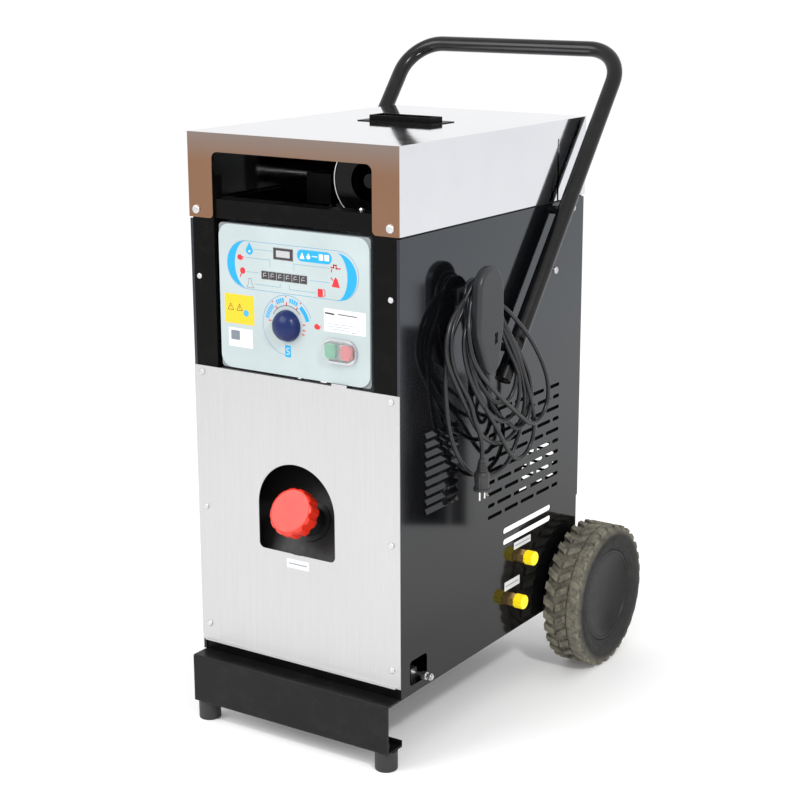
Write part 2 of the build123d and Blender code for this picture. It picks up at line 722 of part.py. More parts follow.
def burner_housing():
    """Fan scroll and the duct that leads its air down into the drum."""
    x, z = BURNER_AT
    scroll = rod("Y", BURNER_RADIUS, *BURNER_Y, x, z)
    duct = block(x - 40, x + 40, BURNER_Y[1] - 5, 345, 930, 985)
    outlet = rod("Z", 34, BOILER_Z[1] - 12, 935, *BLAST_TUBE_AT)
    inner_duct = block(x - 37, x + 37, BURNER_Y[1] - 12, 342, 933, 982)
    housing = scroll + duct + outlet
    housing -= rod("Y", BURNER_RADIUS - 3, BURNER_Y[0] + 3, BURNER_Y[1] - 3, x, z)
    housing -= inner_duct
    housing -= rod("Z", 31, BOILER_Z[1] - 20, 940, *BLAST_TUBE_AT)
    housing -= rod("Y", 38, BURNER_Y[0] - 2, BURNER_Y[0] + 5, x, z)
    housing -= rod("Y", 8, BURNER_Y[1] - 8, BURNER_Y[1] + 5, x, z)
    return housing


def burner_fan():
    """Bladed wheel on the burner motor's shaft."""
    x, z = BURNER_AT
    low, high = BURNER_Y[0] + 8, BURNER_Y[1] - 12
    fan = rod("Y", 60, high - 3, high, x, z) + rod("Y", 14, low, high, x, z)
    for index in range(12):
        angle = index * 30
        blade = Pos(54, 0, 0) * Box(14, 2, high - low)
        place = Pos(x, (low + high) / 2, z) * Rot(90, 0, 0) * Rot(0, 0, angle)
        fan += place * blade
    fan += rod("Y", 5, low, BURNER_Y[1] + 20, x, z)
    return fan


def burner_motor():
    """Motor behind the scroll, with a bearing bore for the fan's shaft."""
    x, z = BURNER_AT
    start = BURNER_Y[1] + GAP
    motor = rod("Y", 11, start, start + 6, x, z) + rod("Y", 11, start, 186, x, z)
    motor += block(x - 36, x + 36, 186, 250, 988, 1058)
    motor -= rod("Y", 5 + RUN_PLAY, start - 1, BURNER_Y[1] + 24, x, z)
    return motor


def fuel_pump():
    """Gear pump for the burner's fuel, with its two pipe stubs."""
    pump = block(-72, -12, 150, 205, 940, 1000)
    pump += rod("X", 18, -12, 6, 178, 970)
    pump += rod("Z", 4, 912, 940, -57, 178) + rod("Z", 4, 912, 940, -27, 178)
    return pump


# ---- motor and pump ----
MOTOR_AXIS = (560.0, 150.0)
MOTOR_X = (-195.0, -20.0)
MOTOR_RADIUS = 85.0


def pump_motor():
    """Finned motor body on two feet, with a bearing bore for the fan shaft."""
    motor = rod("X", MOTOR_RADIUS - 6, *MOTOR_X, *MOTOR_AXIS)
    for index in range(24):
        angle = index * 15
        fin = Pos(0, 0, MOTOR_RADIUS - 5) * Box(150, 2.5, 10)
        place = Pos(sum(MOTOR_X) / 2, *MOTOR_AXIS) * Rot(angle, 0, 0)
        motor += place * fin
    y = MOTOR_AXIS[0]
    motor += block(-170, -45, y - 60, y + 60, SHEET, 14)
    motor += block(-165, -50, y - 30, y + 30, 14, 75)
    motor += block(-150, -60, y - 45, y + 45, 220, 262)
    motor -= rod("X", 8 + RUN_PLAY, MOTOR_X[0] - 1, MOTOR_X[0] + 40, *MOTOR_AXIS)
    return motor


def motor_fan():
    """Cooling fan on the rear end of the motor's shaft."""
    fan = rod("X", 8, -232, MOTOR_X[0] + 36, *MOTOR_AXIS)
    fan += rod("X", 20, -226, -206, *MOTOR_AXIS)
    for index in range(8):
        blade = Pos(-216, 0, 0) * Pos(0, 0, 40) * Box(18, 2.5, 56)
        fan += Pos(0, *MOTOR_AXIS) * Rot(index * 45, 0, 0) * blade
    return fan


def fan_cover():
    """Slatted sheet cover over the motor's fan."""
    cover = rod("X", 82, -238, MOTOR_X[0] - GAP, *MOTOR_AXIS)
    cover -= rod("X", 79, -236, MOTOR_X[0] + 1, *MOTOR_AXIS)
    for index in range(9):
        z = MOTOR_AXIS[1] - 56 + index * 14
        cover -= block(-240, -235, MOTOR_AXIS[0] - 40, MOTOR_AXIS[0] + 40, z - 3, z + 3)
    return cover


def pump_crankcase():
    """Oil-filled crankcase of the three-plunger pump."""
    case = block(MOTOR_X[1], 88, 505, 620, 92, 215)
    case = fillet(case.edges().filter_by(Axis.X), 14)
    case += block(-10, 80, 515, 610, SHEET, 93)
    case += rod("Z", 9, 215, 232, 34, 590)
    return case


def pump_head():
    """Brass manifold with three suction and three delivery valve caps."""
    head = block(-15, 83, 436, 505, 108, 196)
    for index in range(3):
        x = 4 + index * 30
        head += hexagon("Y", 22, 426, 436, x, 128)
        head += hexagon("Y", 22, 426, 436, x, 174)
    return head


def unloader_valve():
    """Pressure-regulating valve on top of the manifold."""
    valve = block(40, 76, 444, 484, 196, 226)
    valve += rod("Z", 13, 226, 262, 58, 464)
    valve += rod("Z", 17, 262, 276, 58, 464)
    return valve


def pipe(points, radius, bend):
    """A round pipe along straight runs joined by bends."""
    path = FilletPolyline(*points, radius=bend)
    start = Plane(origin=path @ 0, z_dir=path % 0)
    return sweep(start * Circle(radius), path=path)


def water_pipes():
    """Suction pipe, pump-to-boiler pipe and boiler-to-outlet pipe."""
    suction = pipe([(230, *INLET_AT), (20, *INLET_AT), (20, 470, 75), (20, 470, 108)], 9, 24)
    feed = pipe([(-15, 470, 180), (-60, 470, 180), (-60, 470, 300)], 6, 18)
    hot = pipe([(120, 468, 300), (120, 468, 161), (230, *OUTLET_AT)], 7, 24)
    return group([suction, feed, hot])


def water_fittings():
    """Outlet and inlet: brass bodies with a hexagon outside and a lock nut inside."""
    bodies = []
    for y, z in (OUTLET_AT, INLET_AT):
        body = hexagon("X", 27, HALF_WIDTH, 263, y, z)
        body += rod("X", 10, 230, HALF_WIDTH, y, z)
        body += rod("X", 10.8, 263, 281, y, z)
        body += hexagon("X", 27, 239, HALF_WIDTH - SHEET, y, z)
        bodies.append(body - rod("X", 6.5, 240, 282, y, z))
    return group(bodies)


def connection_cap(place):
    """Yellow protective cap that pulls off the fitting's spigot."""
    y, z = place
    cap = rod("X", 15.5, 264, 286, y, z)
    cap = fillet(cap.edges().group_by(Axis.X)[-1], 3.5)
    for index in range(8):
        angle = math.radians(index * 45)
        notch_y, notch_z = y + 17.5 * math.cos(angle), z + 17.5 * math.sin(angle)
        cap -= rod("X", 3.6, 263, 283, notch_y, notch_z)
    return cap - rod("X", 10.8 + RUN_PLAY, 263, 282, y, z)


def drain_fitting():
    """Drain spigot in the square hole low on the right-hand side."""
    y, z = 78.0, 27.0
    spigot = rod("X", 5, 215, 274, y, z)
    spigot += hexagon("X", 15, 250, 260, y, z)
    spigot += rod("X", 7, 266, 271, y, z)
    return spigot + block(218, 230, y - 10, y + 10, SHEET, z + 10)


# ---- cord ----
HOOK_STEM_Y = (206.0, 250.0)
HOOK_STEM_Z = ((782.0, 790.0), (760.0, 768.0))


def cable_hook():
    """Tapered oval plate on a two-bar stem, for hanging the coiled cord."""
    rounds = [Pos(y, z) * Circle(radius) for y, z, radius in HOOK_ROUNDS]
    outline = make_hull(ShapeList(edge for round_ in rounds for edge in round_.edges()))
    hook = side_profile(outline, *HOOK_X, 0, 0)
    hook = fillet(hook.faces().sort_by(Axis.X)[-1].edges(), 8)
    hook = fillet(hook.faces().sort_by(Axis.X)[0].edges(), 3)
    hook -= side_profile(Rot(0, 0, -70) * SlotOverall(22, 7), 290, 330, 243, 692)
    y0, y1 = HOOK_STEM_Y
    for z0, z1 in HOOK_STEM_Z:
        hook += block(HALF_WIDTH, HOOK_X[0] + 1, y0, y1, z0, z1)
    return hook + block(HALF_WIDTH, 254, y0 - 4, y1 + 4, HOOK_STEM_Z[1][0] - 4, HOOK_STEM_Z[0][1])


GLAND_AT = (270.0, 285.0, 650.0)
CORD_EXIT = (270.0, 285.0, 600.0)


def cable_gland():
    """Elbow gland: a nut on the panel and a tapered boot that points down."""
    x, y, z = GLAND_AT
    gland = hexagon("X", 24, HALF_WIDTH, 259, y, z) + rod("X", 9.5, 259, x, y, z)
    gland += Pos(*GLAND_AT) * Sphere(9.5)
    length = z - CORD_EXIT[2]
    boot = Cone(6.2, 9.5, length, align=(Align.CENTER, Align.CENTER, Align.MIN))
    return gland + Pos(*CORD_EXIT) * boot


LEAD_ROUTE = [CORD_EXIT, (270, 285, 572), (273, 296, 540), (279, 318, 512), (287, 344, 492)]
TAIL_ROUTE = [(291, 192, 566), (291, 202, 534), (291, 221, 504), (291, 234, 474), (291, 234, 444)]


def corner_radii(route):
    """The largest arc that fits each corner: 0.45 of the shorter run over tan(half the turn)."""
    radii = []
    for before, here, after in zip(route, route[1:], route[2:]):
        run_in = Vector(*here) - Vector(*before)
        run_out = Vector(*after) - Vector(*here)
        turn = math.radians(run_in.get_angle(run_out))
        radii.append(0.45 * min(run_in.length, run_out.length) / math.tan(turn / 2))
    return radii


def cord_tube(name, route):
    """A round cord along straight runs joined by tangent arcs."""
    radii = corner_radii(route)
    path = FilletPolyline(*route, radius=radii)
    start = Plane(origin=path @ 0, z_dir=path % 0)
    tube = sweep(start * Circle(CORD_RADIUS), path=path)
    expected = math.pi * CORD_RADIUS ** 2 * path.length
    print(name, "radii", [round(r) for r in radii], "volume ratio", round(tube.volume / expected, 4))
    return tube


def oval(centre, major, minor, turn, x0, x1):
    """An elliptical slab in the side plane; turn is the major axis above +y, in degrees."""
    return side_profile(Rot(0, 0, turn) * Ellipse(major, minor), x0, x1, *centre)


def cord_coil():
    """Outer shape of the hanging loops, cleared around the hook, the leg, the gland and the plug."""
    ring = oval((290, 597), 226, 172, 112, 256, 324)
    ring -= oval((290, 625), 105, 50, 118, 250, 330)
    ring -= block(HOOK_X[0] - 3, 330, 174, 282, 616, 850)
    ring -= block(250, 300, HOOK_STEM_Y[0] - 5, HOOK_STEM_Y[1] + 5, 752, 795)
    ring -= block(PLUG_TOP[0] - 19, 330, 206, 268, 330, 470)
    ring -= block(PLUG_TOP[0] - 8, 330, 180, 262, 440, 545)
    toes = Vector(HANDLE_X, *HANDLE_FOOT)
    rise = Vector(HANDLE_X, *HANDLE_BAR) - toes
    ring -= Plane(origin=toes - rise.normalized() * 12, z_dir=rise) * extrude(Circle(20), 700)
    return ring - block(250, HANDLE_X + 20, leg_point(600) - 22, 480, 600, 830)


def cord_lead():
    """Cord from the gland to the coil."""
    return cord_tube("lead", LEAD_ROUTE) - cord_coil()


def cord_tail():
    """Cord from the coil to the plug."""
    return cord_tube("tail", TAIL_ROUTE) - cord_coil()


PLUG_TOP = TAIL_ROUTE[-1]


def plug_body():
    """Moulded plug with a tapered sleeve, pointing down."""
    sleeve = Cone(11, 6.5, 26, align=(Align.CENTER, Align.CENTER, Align.MAX))
    body = Pos(0, 0, -26) * Cylinder(16, 40, align=(Align.CENTER, Align.CENTER, Align.MAX))
    body = fillet(body.edges().group_by(Axis.Z)[-1], 4)
    flange = Pos(0, 0, -60) * Cylinder(18, 6, align=(Align.CENTER, Align.CENTER, Align.MAX))
    return Pos(*PLUG_TOP) * (sleeve + body + flange)


def plug_pins():
    """Two round pins and the earth contact."""
    top = (Align.CENTER, Align.CENTER, Align.MAX)
    place = Pos(*PLUG_TOP)
    pins = [place * Pos(0, side * 9.5, -66) * Cylinder(2.4, 19, align=top) for side in (-1, 1)]
    strip = Pos(11, 0, -66) * Box(1.6, 6, 10, align=top)
    strip += Pos(12.5, 0, -74) * Box(4.6, 6, 2, align=top)
    pins.append(place * strip)
    return group(pins)


# ---- export ----
PARTS = {
    "base_tray": base_tray,
    "frame_posts": frame_posts,
    "front_cross_bar": front_cross_bar,
    "side_panel_right": side_panel_right,
    "side_panel_left": side_panel_left,
    "rear_cover": rear_cover,
    "top_hood": top_hood,
    "flue_collar": flue_collar,
    "front_panel": front_panel,
    "foot_bracket": foot_bracket,
    "front_feet": front_feet,
    "handle_tube": handle_tube,
    "handle_fixings": handle_fixings,
    "axle": axle,
    "tyre_left": lambda: tyre(-1),
    "tyre_right": lambda: tyre(1),
    "rim_left": lambda: rim(-1),
    "rim_right": lambda: rim(1),
    "wheel_cover_left": lambda: wheel_cover(-1),
    "wheel_cover_right": lambda: wheel_cover(1),
    "control_box": control_box,
    "control_plate": control_plate,
    "display_windows": display_windows,
    "thermostat_body": thermostat_body,
    "temperature_knob": temperature_knob,
    "switch_bezel": switch_bezel,
    "start_button": lambda: push_button(-1),
    "stop_button": lambda: push_button(1),
    "switch_boot": switch_boot,
    "relay_module": relay_module,
    "fuel_tank": fuel_tank,
    "fuel_neck": fuel_neck,
    "fuel_cap": fuel_cap,
    "cap_gasket": cap_gasket,
    "boiler_shell": boiler_shell,
    "heating_coil": heating_coil,
    "flue_duct": flue_duct,
    "burner_housing": burner_housing,
    "burner_fan": burner_fan,
    "burner_motor": burner_motor,
    "fuel_pump": fuel_pump,
    "pump_motor": pump_motor,
    "motor_fan": motor_fan,
    "fan_cover": fan_cover,
    "pump_crankcase": pump_crankcase,
    "pump_head": pump_head,
    "unloader_valve": unloader_valve,
    "water_pipes": water_pipes,
    "water_fittings": water_fittings,
    "inlet_cap": lambda: connection_cap(INLET_AT),
    "outlet_cap": lambda: connection_cap(OUTLET_AT),
    "drain_fitting": drain_fitting,
    "cable_hook": cable_hook,
    "cable_gland": cable_gland,
    "cord_coil": cord_coil,
    "cord_lead": cord_lead,
    "cord_tail": cord_tail,
    "plug_body": plug_body,
    "plug_pins": plug_pins,
    "panel_screws": panel_screws,
}

os.makedirs("parts", exist_ok=True)
for name, make in PARTS.items():
    shape = make().moved(TO_FLOOR_FRAME)
    export_step(shape, "parts/" + name + ".step")
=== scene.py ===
import math

import bmesh
import bpy
from mathutils import Matrix, Vector


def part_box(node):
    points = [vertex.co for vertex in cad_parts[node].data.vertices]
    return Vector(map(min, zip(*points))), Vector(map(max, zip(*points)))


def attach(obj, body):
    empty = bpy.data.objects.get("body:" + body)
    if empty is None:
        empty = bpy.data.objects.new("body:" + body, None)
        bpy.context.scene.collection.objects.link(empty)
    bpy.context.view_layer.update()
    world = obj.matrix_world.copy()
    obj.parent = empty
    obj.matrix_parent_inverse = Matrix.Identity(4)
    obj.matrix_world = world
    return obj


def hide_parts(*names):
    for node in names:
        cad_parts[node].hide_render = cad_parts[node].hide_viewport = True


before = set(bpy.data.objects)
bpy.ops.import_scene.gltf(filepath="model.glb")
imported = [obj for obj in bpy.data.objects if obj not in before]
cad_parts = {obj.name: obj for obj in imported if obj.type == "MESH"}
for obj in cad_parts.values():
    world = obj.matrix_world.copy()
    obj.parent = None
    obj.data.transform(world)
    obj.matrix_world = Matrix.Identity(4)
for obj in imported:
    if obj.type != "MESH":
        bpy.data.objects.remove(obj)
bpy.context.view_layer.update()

# Looks of the hot-water pressure washer. Blender units are metres. Places on the cabinet are worked
# out in millimetres in the cabinet's own frame: x centred, y back from the hood's front face, z up
# from the side panels' lower edge. spot() turns them into the row frame.
MM = 0.001
HOOD_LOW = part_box("top_hood")[0]
SIDE_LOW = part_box("side_panel_right")[0]
PLATE_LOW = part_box("control_plate")[0]
ORIGIN = Vector((0.0, HOOD_LOW.y, SIDE_LOW.z))
HALF_WIDTH = 250.0


def spot(x, y, z):
    """A place in the cabinet's frame, in millimetres, as a point of the row frame, in metres."""
    return ORIGIN + Vector((x, y, z)) * MM


# ---------------------------------------------------------------- camera
CAMERA_PLACE = spot(2006.97, -2616.34, 1424.48)
CAMERA_AZIMUTH = 32.130
CAMERA_ELEVATION = 13.982
CAMERA_ROLL = 0.219
CAMERA_LENS = 78.01
CAMERA_SHIFT = (-0.0638, -0.0192)


def make_camera():
    """The camera at the reference view."""
    azimuth, elevation = math.radians(CAMERA_AZIMUTH), math.radians(CAMERA_ELEVATION)
    roll = math.radians(CAMERA_ROLL)
    back = Vector((math.sin(azimuth) * math.cos(elevation),
                   -math.cos(azimuth) * math.cos(elevation), math.sin(elevation)))
    right = (-back).cross(Vector((0, 0, 1))).normalized()
    up = right.cross(-back)
    level_right, level_up = right.copy(), up.copy()
    right = level_right * math.cos(roll) + level_up * math.sin(roll)
    up = level_up * math.cos(roll) - level_right * math.sin(roll)
    data = bpy.data.cameras.new("camera")
    data.lens = CAMERA_LENS
    data.sensor_width = 36
    data.shift_x, data.shift_y = CAMERA_SHIFT
    data.clip_end = 60
    camera = bpy.data.objects.new("camera", data)
    bpy.context.scene.collection.objects.link(camera)
    turn = Matrix((right, up, back)).transposed().to_4x4()
    camera.matrix_world = Matrix.Translation(CAMERA_PLACE) @ turn
    bpy.context.scene.camera = camera


make_camera()


# ---------------------------------------------------------------- material building
class Shader:
    """A node material around one Principled shader, with short helpers for its nodes."""

    def __init__(self, name, roughness=0.5, metallic=0.0, **sockets):
        self.material = bpy.data.materials.new(name)
        self.material.use_nodes = True
        self.nodes = self.material.node_tree.nodes
        self.links = self.material.node_tree.links
        self.main = self.nodes["Principled BSDF"]
        self.main.inputs["Roughness"].default_value = roughness
        self.main.inputs["Metallic"].default_value = metallic
        for label, value in sockets.items():
            self.main.inputs[label.replace("_", " ")].default_value = value
        self.place = self.nodes.new("ShaderNodeTexCoord").outputs["Object"]

    def put(self, kind, **inputs):
        """A node with its inputs set to values, or linked to other nodes' outputs."""
        node = self.nodes.new(kind)
        for label, value in inputs.items():
            self.feed(node.inputs[label.replace("_", " ")], value)
        return node

    def feed(self, socket, value):
        if isinstance(value, bpy.types.NodeSocket):
            self.links.new(value, socket)
        else:
            socket.default_value = value

    def noise(self, scale, detail=4.0, roughness=0.55, stretch=(1, 1, 1)):
        """Noise over the object, stretched along its axes."""
        place = self.put("ShaderNodeMapping", Vector=self.place, Scale=stretch).outputs[0]
        node = self.put("ShaderNodeTexNoise", Vector=place, Scale=scale, Detail=detail,
                        Roughness=roughness)
        return node.outputs["Fac"]

    def ramp(self, value, stops):
        """A colour ramp with (position, colour) stops."""
        node = self.put("ShaderNodeValToRGB", Fac=value)
        elements = node.color_ramp.elements
        while len(elements) < len(stops):
            elements.new(0.5)
        for element, (position, colour) in zip(elements, stops):
            element.position = position
            element.color = colour if len(colour) == 4 else (*colour, 1)
        return node.outputs["Color"]

    def span(self, value, low, high, start=0.0, end=1.0):
        """Maps a value's range onto another, clamped."""
        node = self.put("ShaderNodeMapRange", Value=value)
        for label, number in zip(("From Min", "From Max", "To Min", "To Max"),
                                 (low, high, start, end)):
            node.inputs[label].default_value = number
        return node.outputs[0]

    def math(self, operation, first, second=0.0):
        node = self.nodes.new("ShaderNodeMath")
        node.operation = operation
        self.feed(node.inputs[0], first)
        self.feed(node.inputs[1], second)
        return node.outputs[0]

    def blend(self, amount, first, second):
        """Mixes two colours."""
        node = self.nodes.new("ShaderNodeMix")
        node.data_type = "RGBA"
        self.feed(node.inputs[0], amount)
        self.feed(node.inputs[6], first)
        self.feed(node.inputs[7], second)
        return node.outputs[2]

    def axis(self, index):
        """One coordinate of the object's own space."""
        return self.put("ShaderNodeSeparateXYZ", Vector=self.place).outputs[index]

    def colour(self, value):
        self.feed(self.main.inputs["Base Color"], value)

    def rough(self, value):
        self.feed(self.main.inputs["Roughness"], value)

    def bump(self, height, strength, distance):
        """Adds a bump on top of any bump already there."""
        node = self.put("ShaderNodeBump", Height=height, Strength=strength, Distance=distance)
        normal = self.main.inputs["Normal"]
        if normal.is_linked:
            self.links.new(normal.links[0].from_socket, node.inputs["Normal"])
        self.links.new(node.outputs[0], normal)


def rgba(r, g, b):
    return (r, g, b, 1.0)


def shade(colour, factor):
    return tuple(min(1.0, c * factor) for c in colour[:3]) + (1.0,)


def painted(name, colour, roughness, peel=0.25, dust=0.06, **sockets):
    """Gloss or satin paint: orange peel, uneven gloss and a little dust."""
    s = Shader(name, roughness, **sockets)
    cloud = s.noise(3.0, 5)
    fine = s.noise(420, 2)
    dusty = s.span(s.noise(28, 8, 0.7), 0.5, 0.75, 0.0, dust)
    base = s.blend(cloud, shade(colour, 0.82), shade(colour, 1.15))
    s.colour(s.blend(dusty, base, rgba(0.42, 0.4, 0.37)))
    s.rough(s.span(s.math("ADD", cloud, s.math("MULTIPLY", dusty, 2.0)), 0.3, 0.8,
                   roughness * 0.8, roughness * 1.35))
    s.bump(fine, peel, 0.0002)
    return s.material


def moulded(name, colour, roughness, grain=0.35, scale=650, **sockets):
    """Moulded plastic: fine grain, slight mottling and uneven gloss."""
    s = Shader(name, roughness, **sockets)
    cloud = s.noise(9, 5)
    s.colour(s.blend(cloud, shade(colour, 0.86), shade(colour, 1.12)))
    s.rough(s.span(s.noise(60, 4), 0.25, 0.75, roughness * 0.85, roughness * 1.2))
    s.bump(s.noise(scale, 3), grain, 0.0002)
    return s.material


def machined(name, colour, roughness, stretch=(1, 1, 1), marks=0.3):
    """Bare metal: tool marks along one direction, smudges and slight tarnish."""
    s = Shader(name, roughness, 1.0)
    smudge = s.noise(14, 6, 0.6)
    lines = s.noise(180, 3, 0.6, stretch)
    s.colour(s.blend(smudge, shade(colour, 0.78), shade(colour, 1.1)))
    s.rough(s.span(s.math("ADD", smudge, s.math("MULTIPLY", lines, 0.6)), 0.4, 1.2,
                   roughness * 0.75, roughness * 1.5))
    s.bump(lines, marks, 0.0002)
    return s.material


def rubbery(name, colour, roughness=0.6, grain=0.5):
    """Rubber or soft PVC: pores, pale bloom and scuffs."""
    s = Shader(name, roughness, Specular_IOR_Level=0.4)
    cloud = s.noise(24, 6, 0.65)
    bloom = s.span(s.noise(70, 8, 0.7), 0.52, 0.8, 0.0, 0.35)
    base = s.blend(cloud, shade(colour, 0.8), shade(colour, 1.25))
    s.colour(s.blend(bloom, base, shade(colour, 2.2)))
    s.rough(s.span(cloud, 0.3, 0.7, roughness * 0.85, roughness * 1.15))
    s.bump(s.noise(900, 3), grain, 0.0002)
    return s.material


def gloss_panel():
    """Gloss black sheet with faint wipe marks; its reflection is painted cool and bright high up and darker
    low down.
    """
    s = Shader("gloss_panel", 0.07)
    height = s.math("SUBTRACT", s.axis(2), ORIGIN.z)
    cloud = s.noise(3.0, 5)
    wipe = s.noise(40, 6, 0.7, (1, 1, 0.25))
    s.colour(s.blend(cloud, rgba(0.002, 0.0021, 0.0024), rgba(0.004, 0.0042, 0.005)))
    s.rough(s.span(s.math("ADD", cloud, s.math("MULTIPLY", wipe, 0.5)), 0.4, 1.0, 0.045, 0.1))
    # Painted reflection: the sheet's reflectance and reflection tint follow its height, brighter and cooler
    # high up, darker and warmer low down.
    s.feed(s.main.inputs["Specular IOR Level"], s.span(height, 0.1, 0.7, 0.27, 0.76))
    s.feed(s.main.inputs["Specular Tint"],
           s.blend(s.span(height, 0.1, 0.7), rgba(1.0, 0.98, 0.94), rgba(0.76, 0.86, 1.0)))
    s.bump(s.noise(2.2, 2), 0.06, 0.004)
    return s.material


def hood_steel():
    """Polished stainless hood; its front face is painted a dark bronze reflection, greyer towards its top,
    and every face has a few faint marks.
    """
    s = Shader("hood_steel", 0.1, 1.0)
    smudge = s.noise(6, 7, 0.65)
    hairline = s.noise(90, 2, 0.5, (1, 1, 14))
    depth = s.math("SUBTRACT", s.axis(1), ORIGIN.y)
    front = s.math("LESS_THAN", depth, 2.2 * MM)
    bright = s.blend(smudge, rgba(0.7, 0.71, 0.745), rgba(0.8, 0.81, 0.845))
    # Painted reflection: the front face gets a dark bronze colour in place of what the polished face
    # reflects, greyer high up.
    front_reflection = s.blend(smudge, rgba(0.285, 0.155, 0.095), rgba(0.35, 0.195, 0.12))
    height = s.math("SUBTRACT", s.axis(2), HOOD_LOW.z)
    front_reflection = s.blend(s.span(height, 0.11, 0.168), front_reflection, rgba(0.31, 0.25, 0.22))
    s.colour(s.blend(front, bright, front_reflection))
    s.rough(s.span(s.math("ADD", smudge, s.math("MULTIPLY", hairline, 0.3)), 0.3, 1.0, 0.03, 0.1))
    s.bump(s.noise(1.6, 2), 0.12, 0.004)
    return s.material


def brushed_panel():
    """Satin stainless front panel with a fine grain up and down and a faint speckle."""
    s = Shader("brushed_panel", 0.42, 1.0)
    grain = s.noise(300, 3, 0.6, (1, 1, 0.03))
    speckle = s.noise(800, 2)
    cloud = s.noise(4, 5, 0.6)
    tone = s.math("ADD", s.math("MULTIPLY", grain, 0.5), s.math("MULTIPLY", speckle, 0.5))
    base = s.ramp(tone, [(0.3, (0.5, 0.5, 0.505)), (0.7, (0.585, 0.585, 0.585))])
    s.colour(s.blend(s.math("MULTIPLY", cloud, 0.35), base, rgba(0.54, 0.54, 0.545)))
    s.rough(s.span(s.math("ADD", grain, cloud), 0.6, 1.4, 0.36, 0.5))
    s.bump(s.math("ADD", s.math("MULTIPLY", grain, 0.4), speckle), 0.1, 0.0002)
    return s.material


def tyre_rubber():
    """Tyre rubber, dusty on the tread and darker on the walls."""
    s = Shader("tyre_rubber", 0.75, Specular_IOR_Level=0.3)
    y = s.math("SUBTRACT", s.axis(1), WHEEL_CENTRE.y)
    z = s.math("SUBTRACT", s.axis(2), WHEEL_CENTRE.z)
    radius = s.math("SQRT", s.math("ADD", s.math("MULTIPLY", y, y), s.math("MULTIPLY", z, z)))
    tread = s.span(radius, 0.138, 0.158)
    grit = s.noise(55, 9, 0.75)
    base = s.ramp(s.noise(12, 6, 0.6), [(0.3, (0.012, 0.012, 0.012)), (0.7, (0.03, 0.029, 0.028))])
    dust = s.math("MULTIPLY", tread, s.span(grit, 0.35, 0.65, 0.15, 0.8))
    s.colour(s.blend(dust, base, rgba(0.31, 0.29, 0.22)))
    s.rough(s.span(grit, 0.3, 0.7, 0.6, 0.9))
    s.bump(s.noise(260, 5, 0.7), 0.6, 0.0006)
    return s.material


def clear_cover():
    """Clear soft cover: mostly see-through, slightly milky and uneven."""
    s = Shader("clear_cover", 0.12, Transmission_Weight=0.92, IOR=1.25)
    haze = s.noise(80, 4)
    s.colour(s.blend(haze, rgba(0.93, 0.95, 0.95), rgba(0.99, 1.0, 1.0)))
    s.rough(s.span(haze, 0.3, 0.7, 0.08, 0.2))
    s.bump(s.noise(60, 2), 0.1, 0.0006)
    return s.material


def printed(name, colour, roughness=0.35):
    """Printed ink: a slightly uneven colour on a satin film."""
    s = Shader(name, roughness)
    s.colour(s.blend(s.noise(160, 4), shade(colour, 0.9), shade(colour, 1.08)))
    s.rough(s.span(s.noise(40, 3), 0.3, 0.7, roughness * 0.85, roughness * 1.15))
    s.bump(s.noise(900, 2), 0.1, 0.0001)
    return s.material


# ---------------------------------------------------------------- mesh building
def new_piece(name, mesh, material, body="cabinet", smooth=0.0):
    """Links a bmesh as a piece that rides on a body; smooth is the shading's crease angle."""
    data = bpy.data.meshes.new(name)
    mesh.normal_update()
    mesh.to_mesh(data)
    mesh.free()
    piece = bpy.data.objects.new(name, data)
    bpy.context.scene.collection.objects.link(piece)
    data.materials.append(material)
    if smooth:
        shade_smooth(piece, smooth)
    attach(piece, body)
    return piece


def shade_smooth(piece, angle):
    """Smooth shading with creases sharper than the angle, in degrees."""
    data = piece.data
    data.polygons.foreach_set("use_smooth", [True] * len(data.polygons))
    data.set_sharp_from_angle(angle=math.radians(angle))


def lathe_into(mesh, profile, centre, axis, steps=64, ripple=None):
    """Revolves (along, radius) points about an axis through centre. ripple(i, turn) adds to radii."""
    axis = Vector(axis).normalized()
    side = axis.orthogonal().normalized()
    other = axis.cross(side)
    rings = []
    for index, (along, radius) in enumerate(profile):
        if radius < 1e-6:
            rings.append([mesh.verts.new(centre + axis * along)])
            continue
        ring = []
        for step in range(steps):
            turn = 2 * math.pi * step / steps
            size = radius + (ripple(index, turn) if ripple else 0.0)
            ring.append(mesh.verts.new(
                centre + axis * along + (side * math.cos(turn) + other * math.sin(turn)) * size))
        rings.append(ring)
    for low, high in zip(rings, rings[1:]):
        for step in range(steps):
            after = (step + 1) % steps
            corners = [low[step % len(low)], low[after % len(low)],
                       high[after % len(high)], high[step % len(high)]]
            unique = list(dict.fromkeys(corners))
            if len(unique) > 2:
                mesh.faces.new(unique)
    return rings


def lathe(name, profile, centre, axis, material, body="cabinet", steps=64, ripple=None, smooth=35):
    """A turned piece; its profile is closed when its first and last points are the same."""
    mesh = bmesh.new()
    lathe_into(mesh, profile, centre, axis, steps, ripple)
    bmesh.ops.remove_doubles(mesh, verts=mesh.verts, dist=1e-7)
    bmesh.ops.recalc_face_normals(mesh, faces=mesh.faces)
    return new_piece(name, mesh, material, body, smooth)


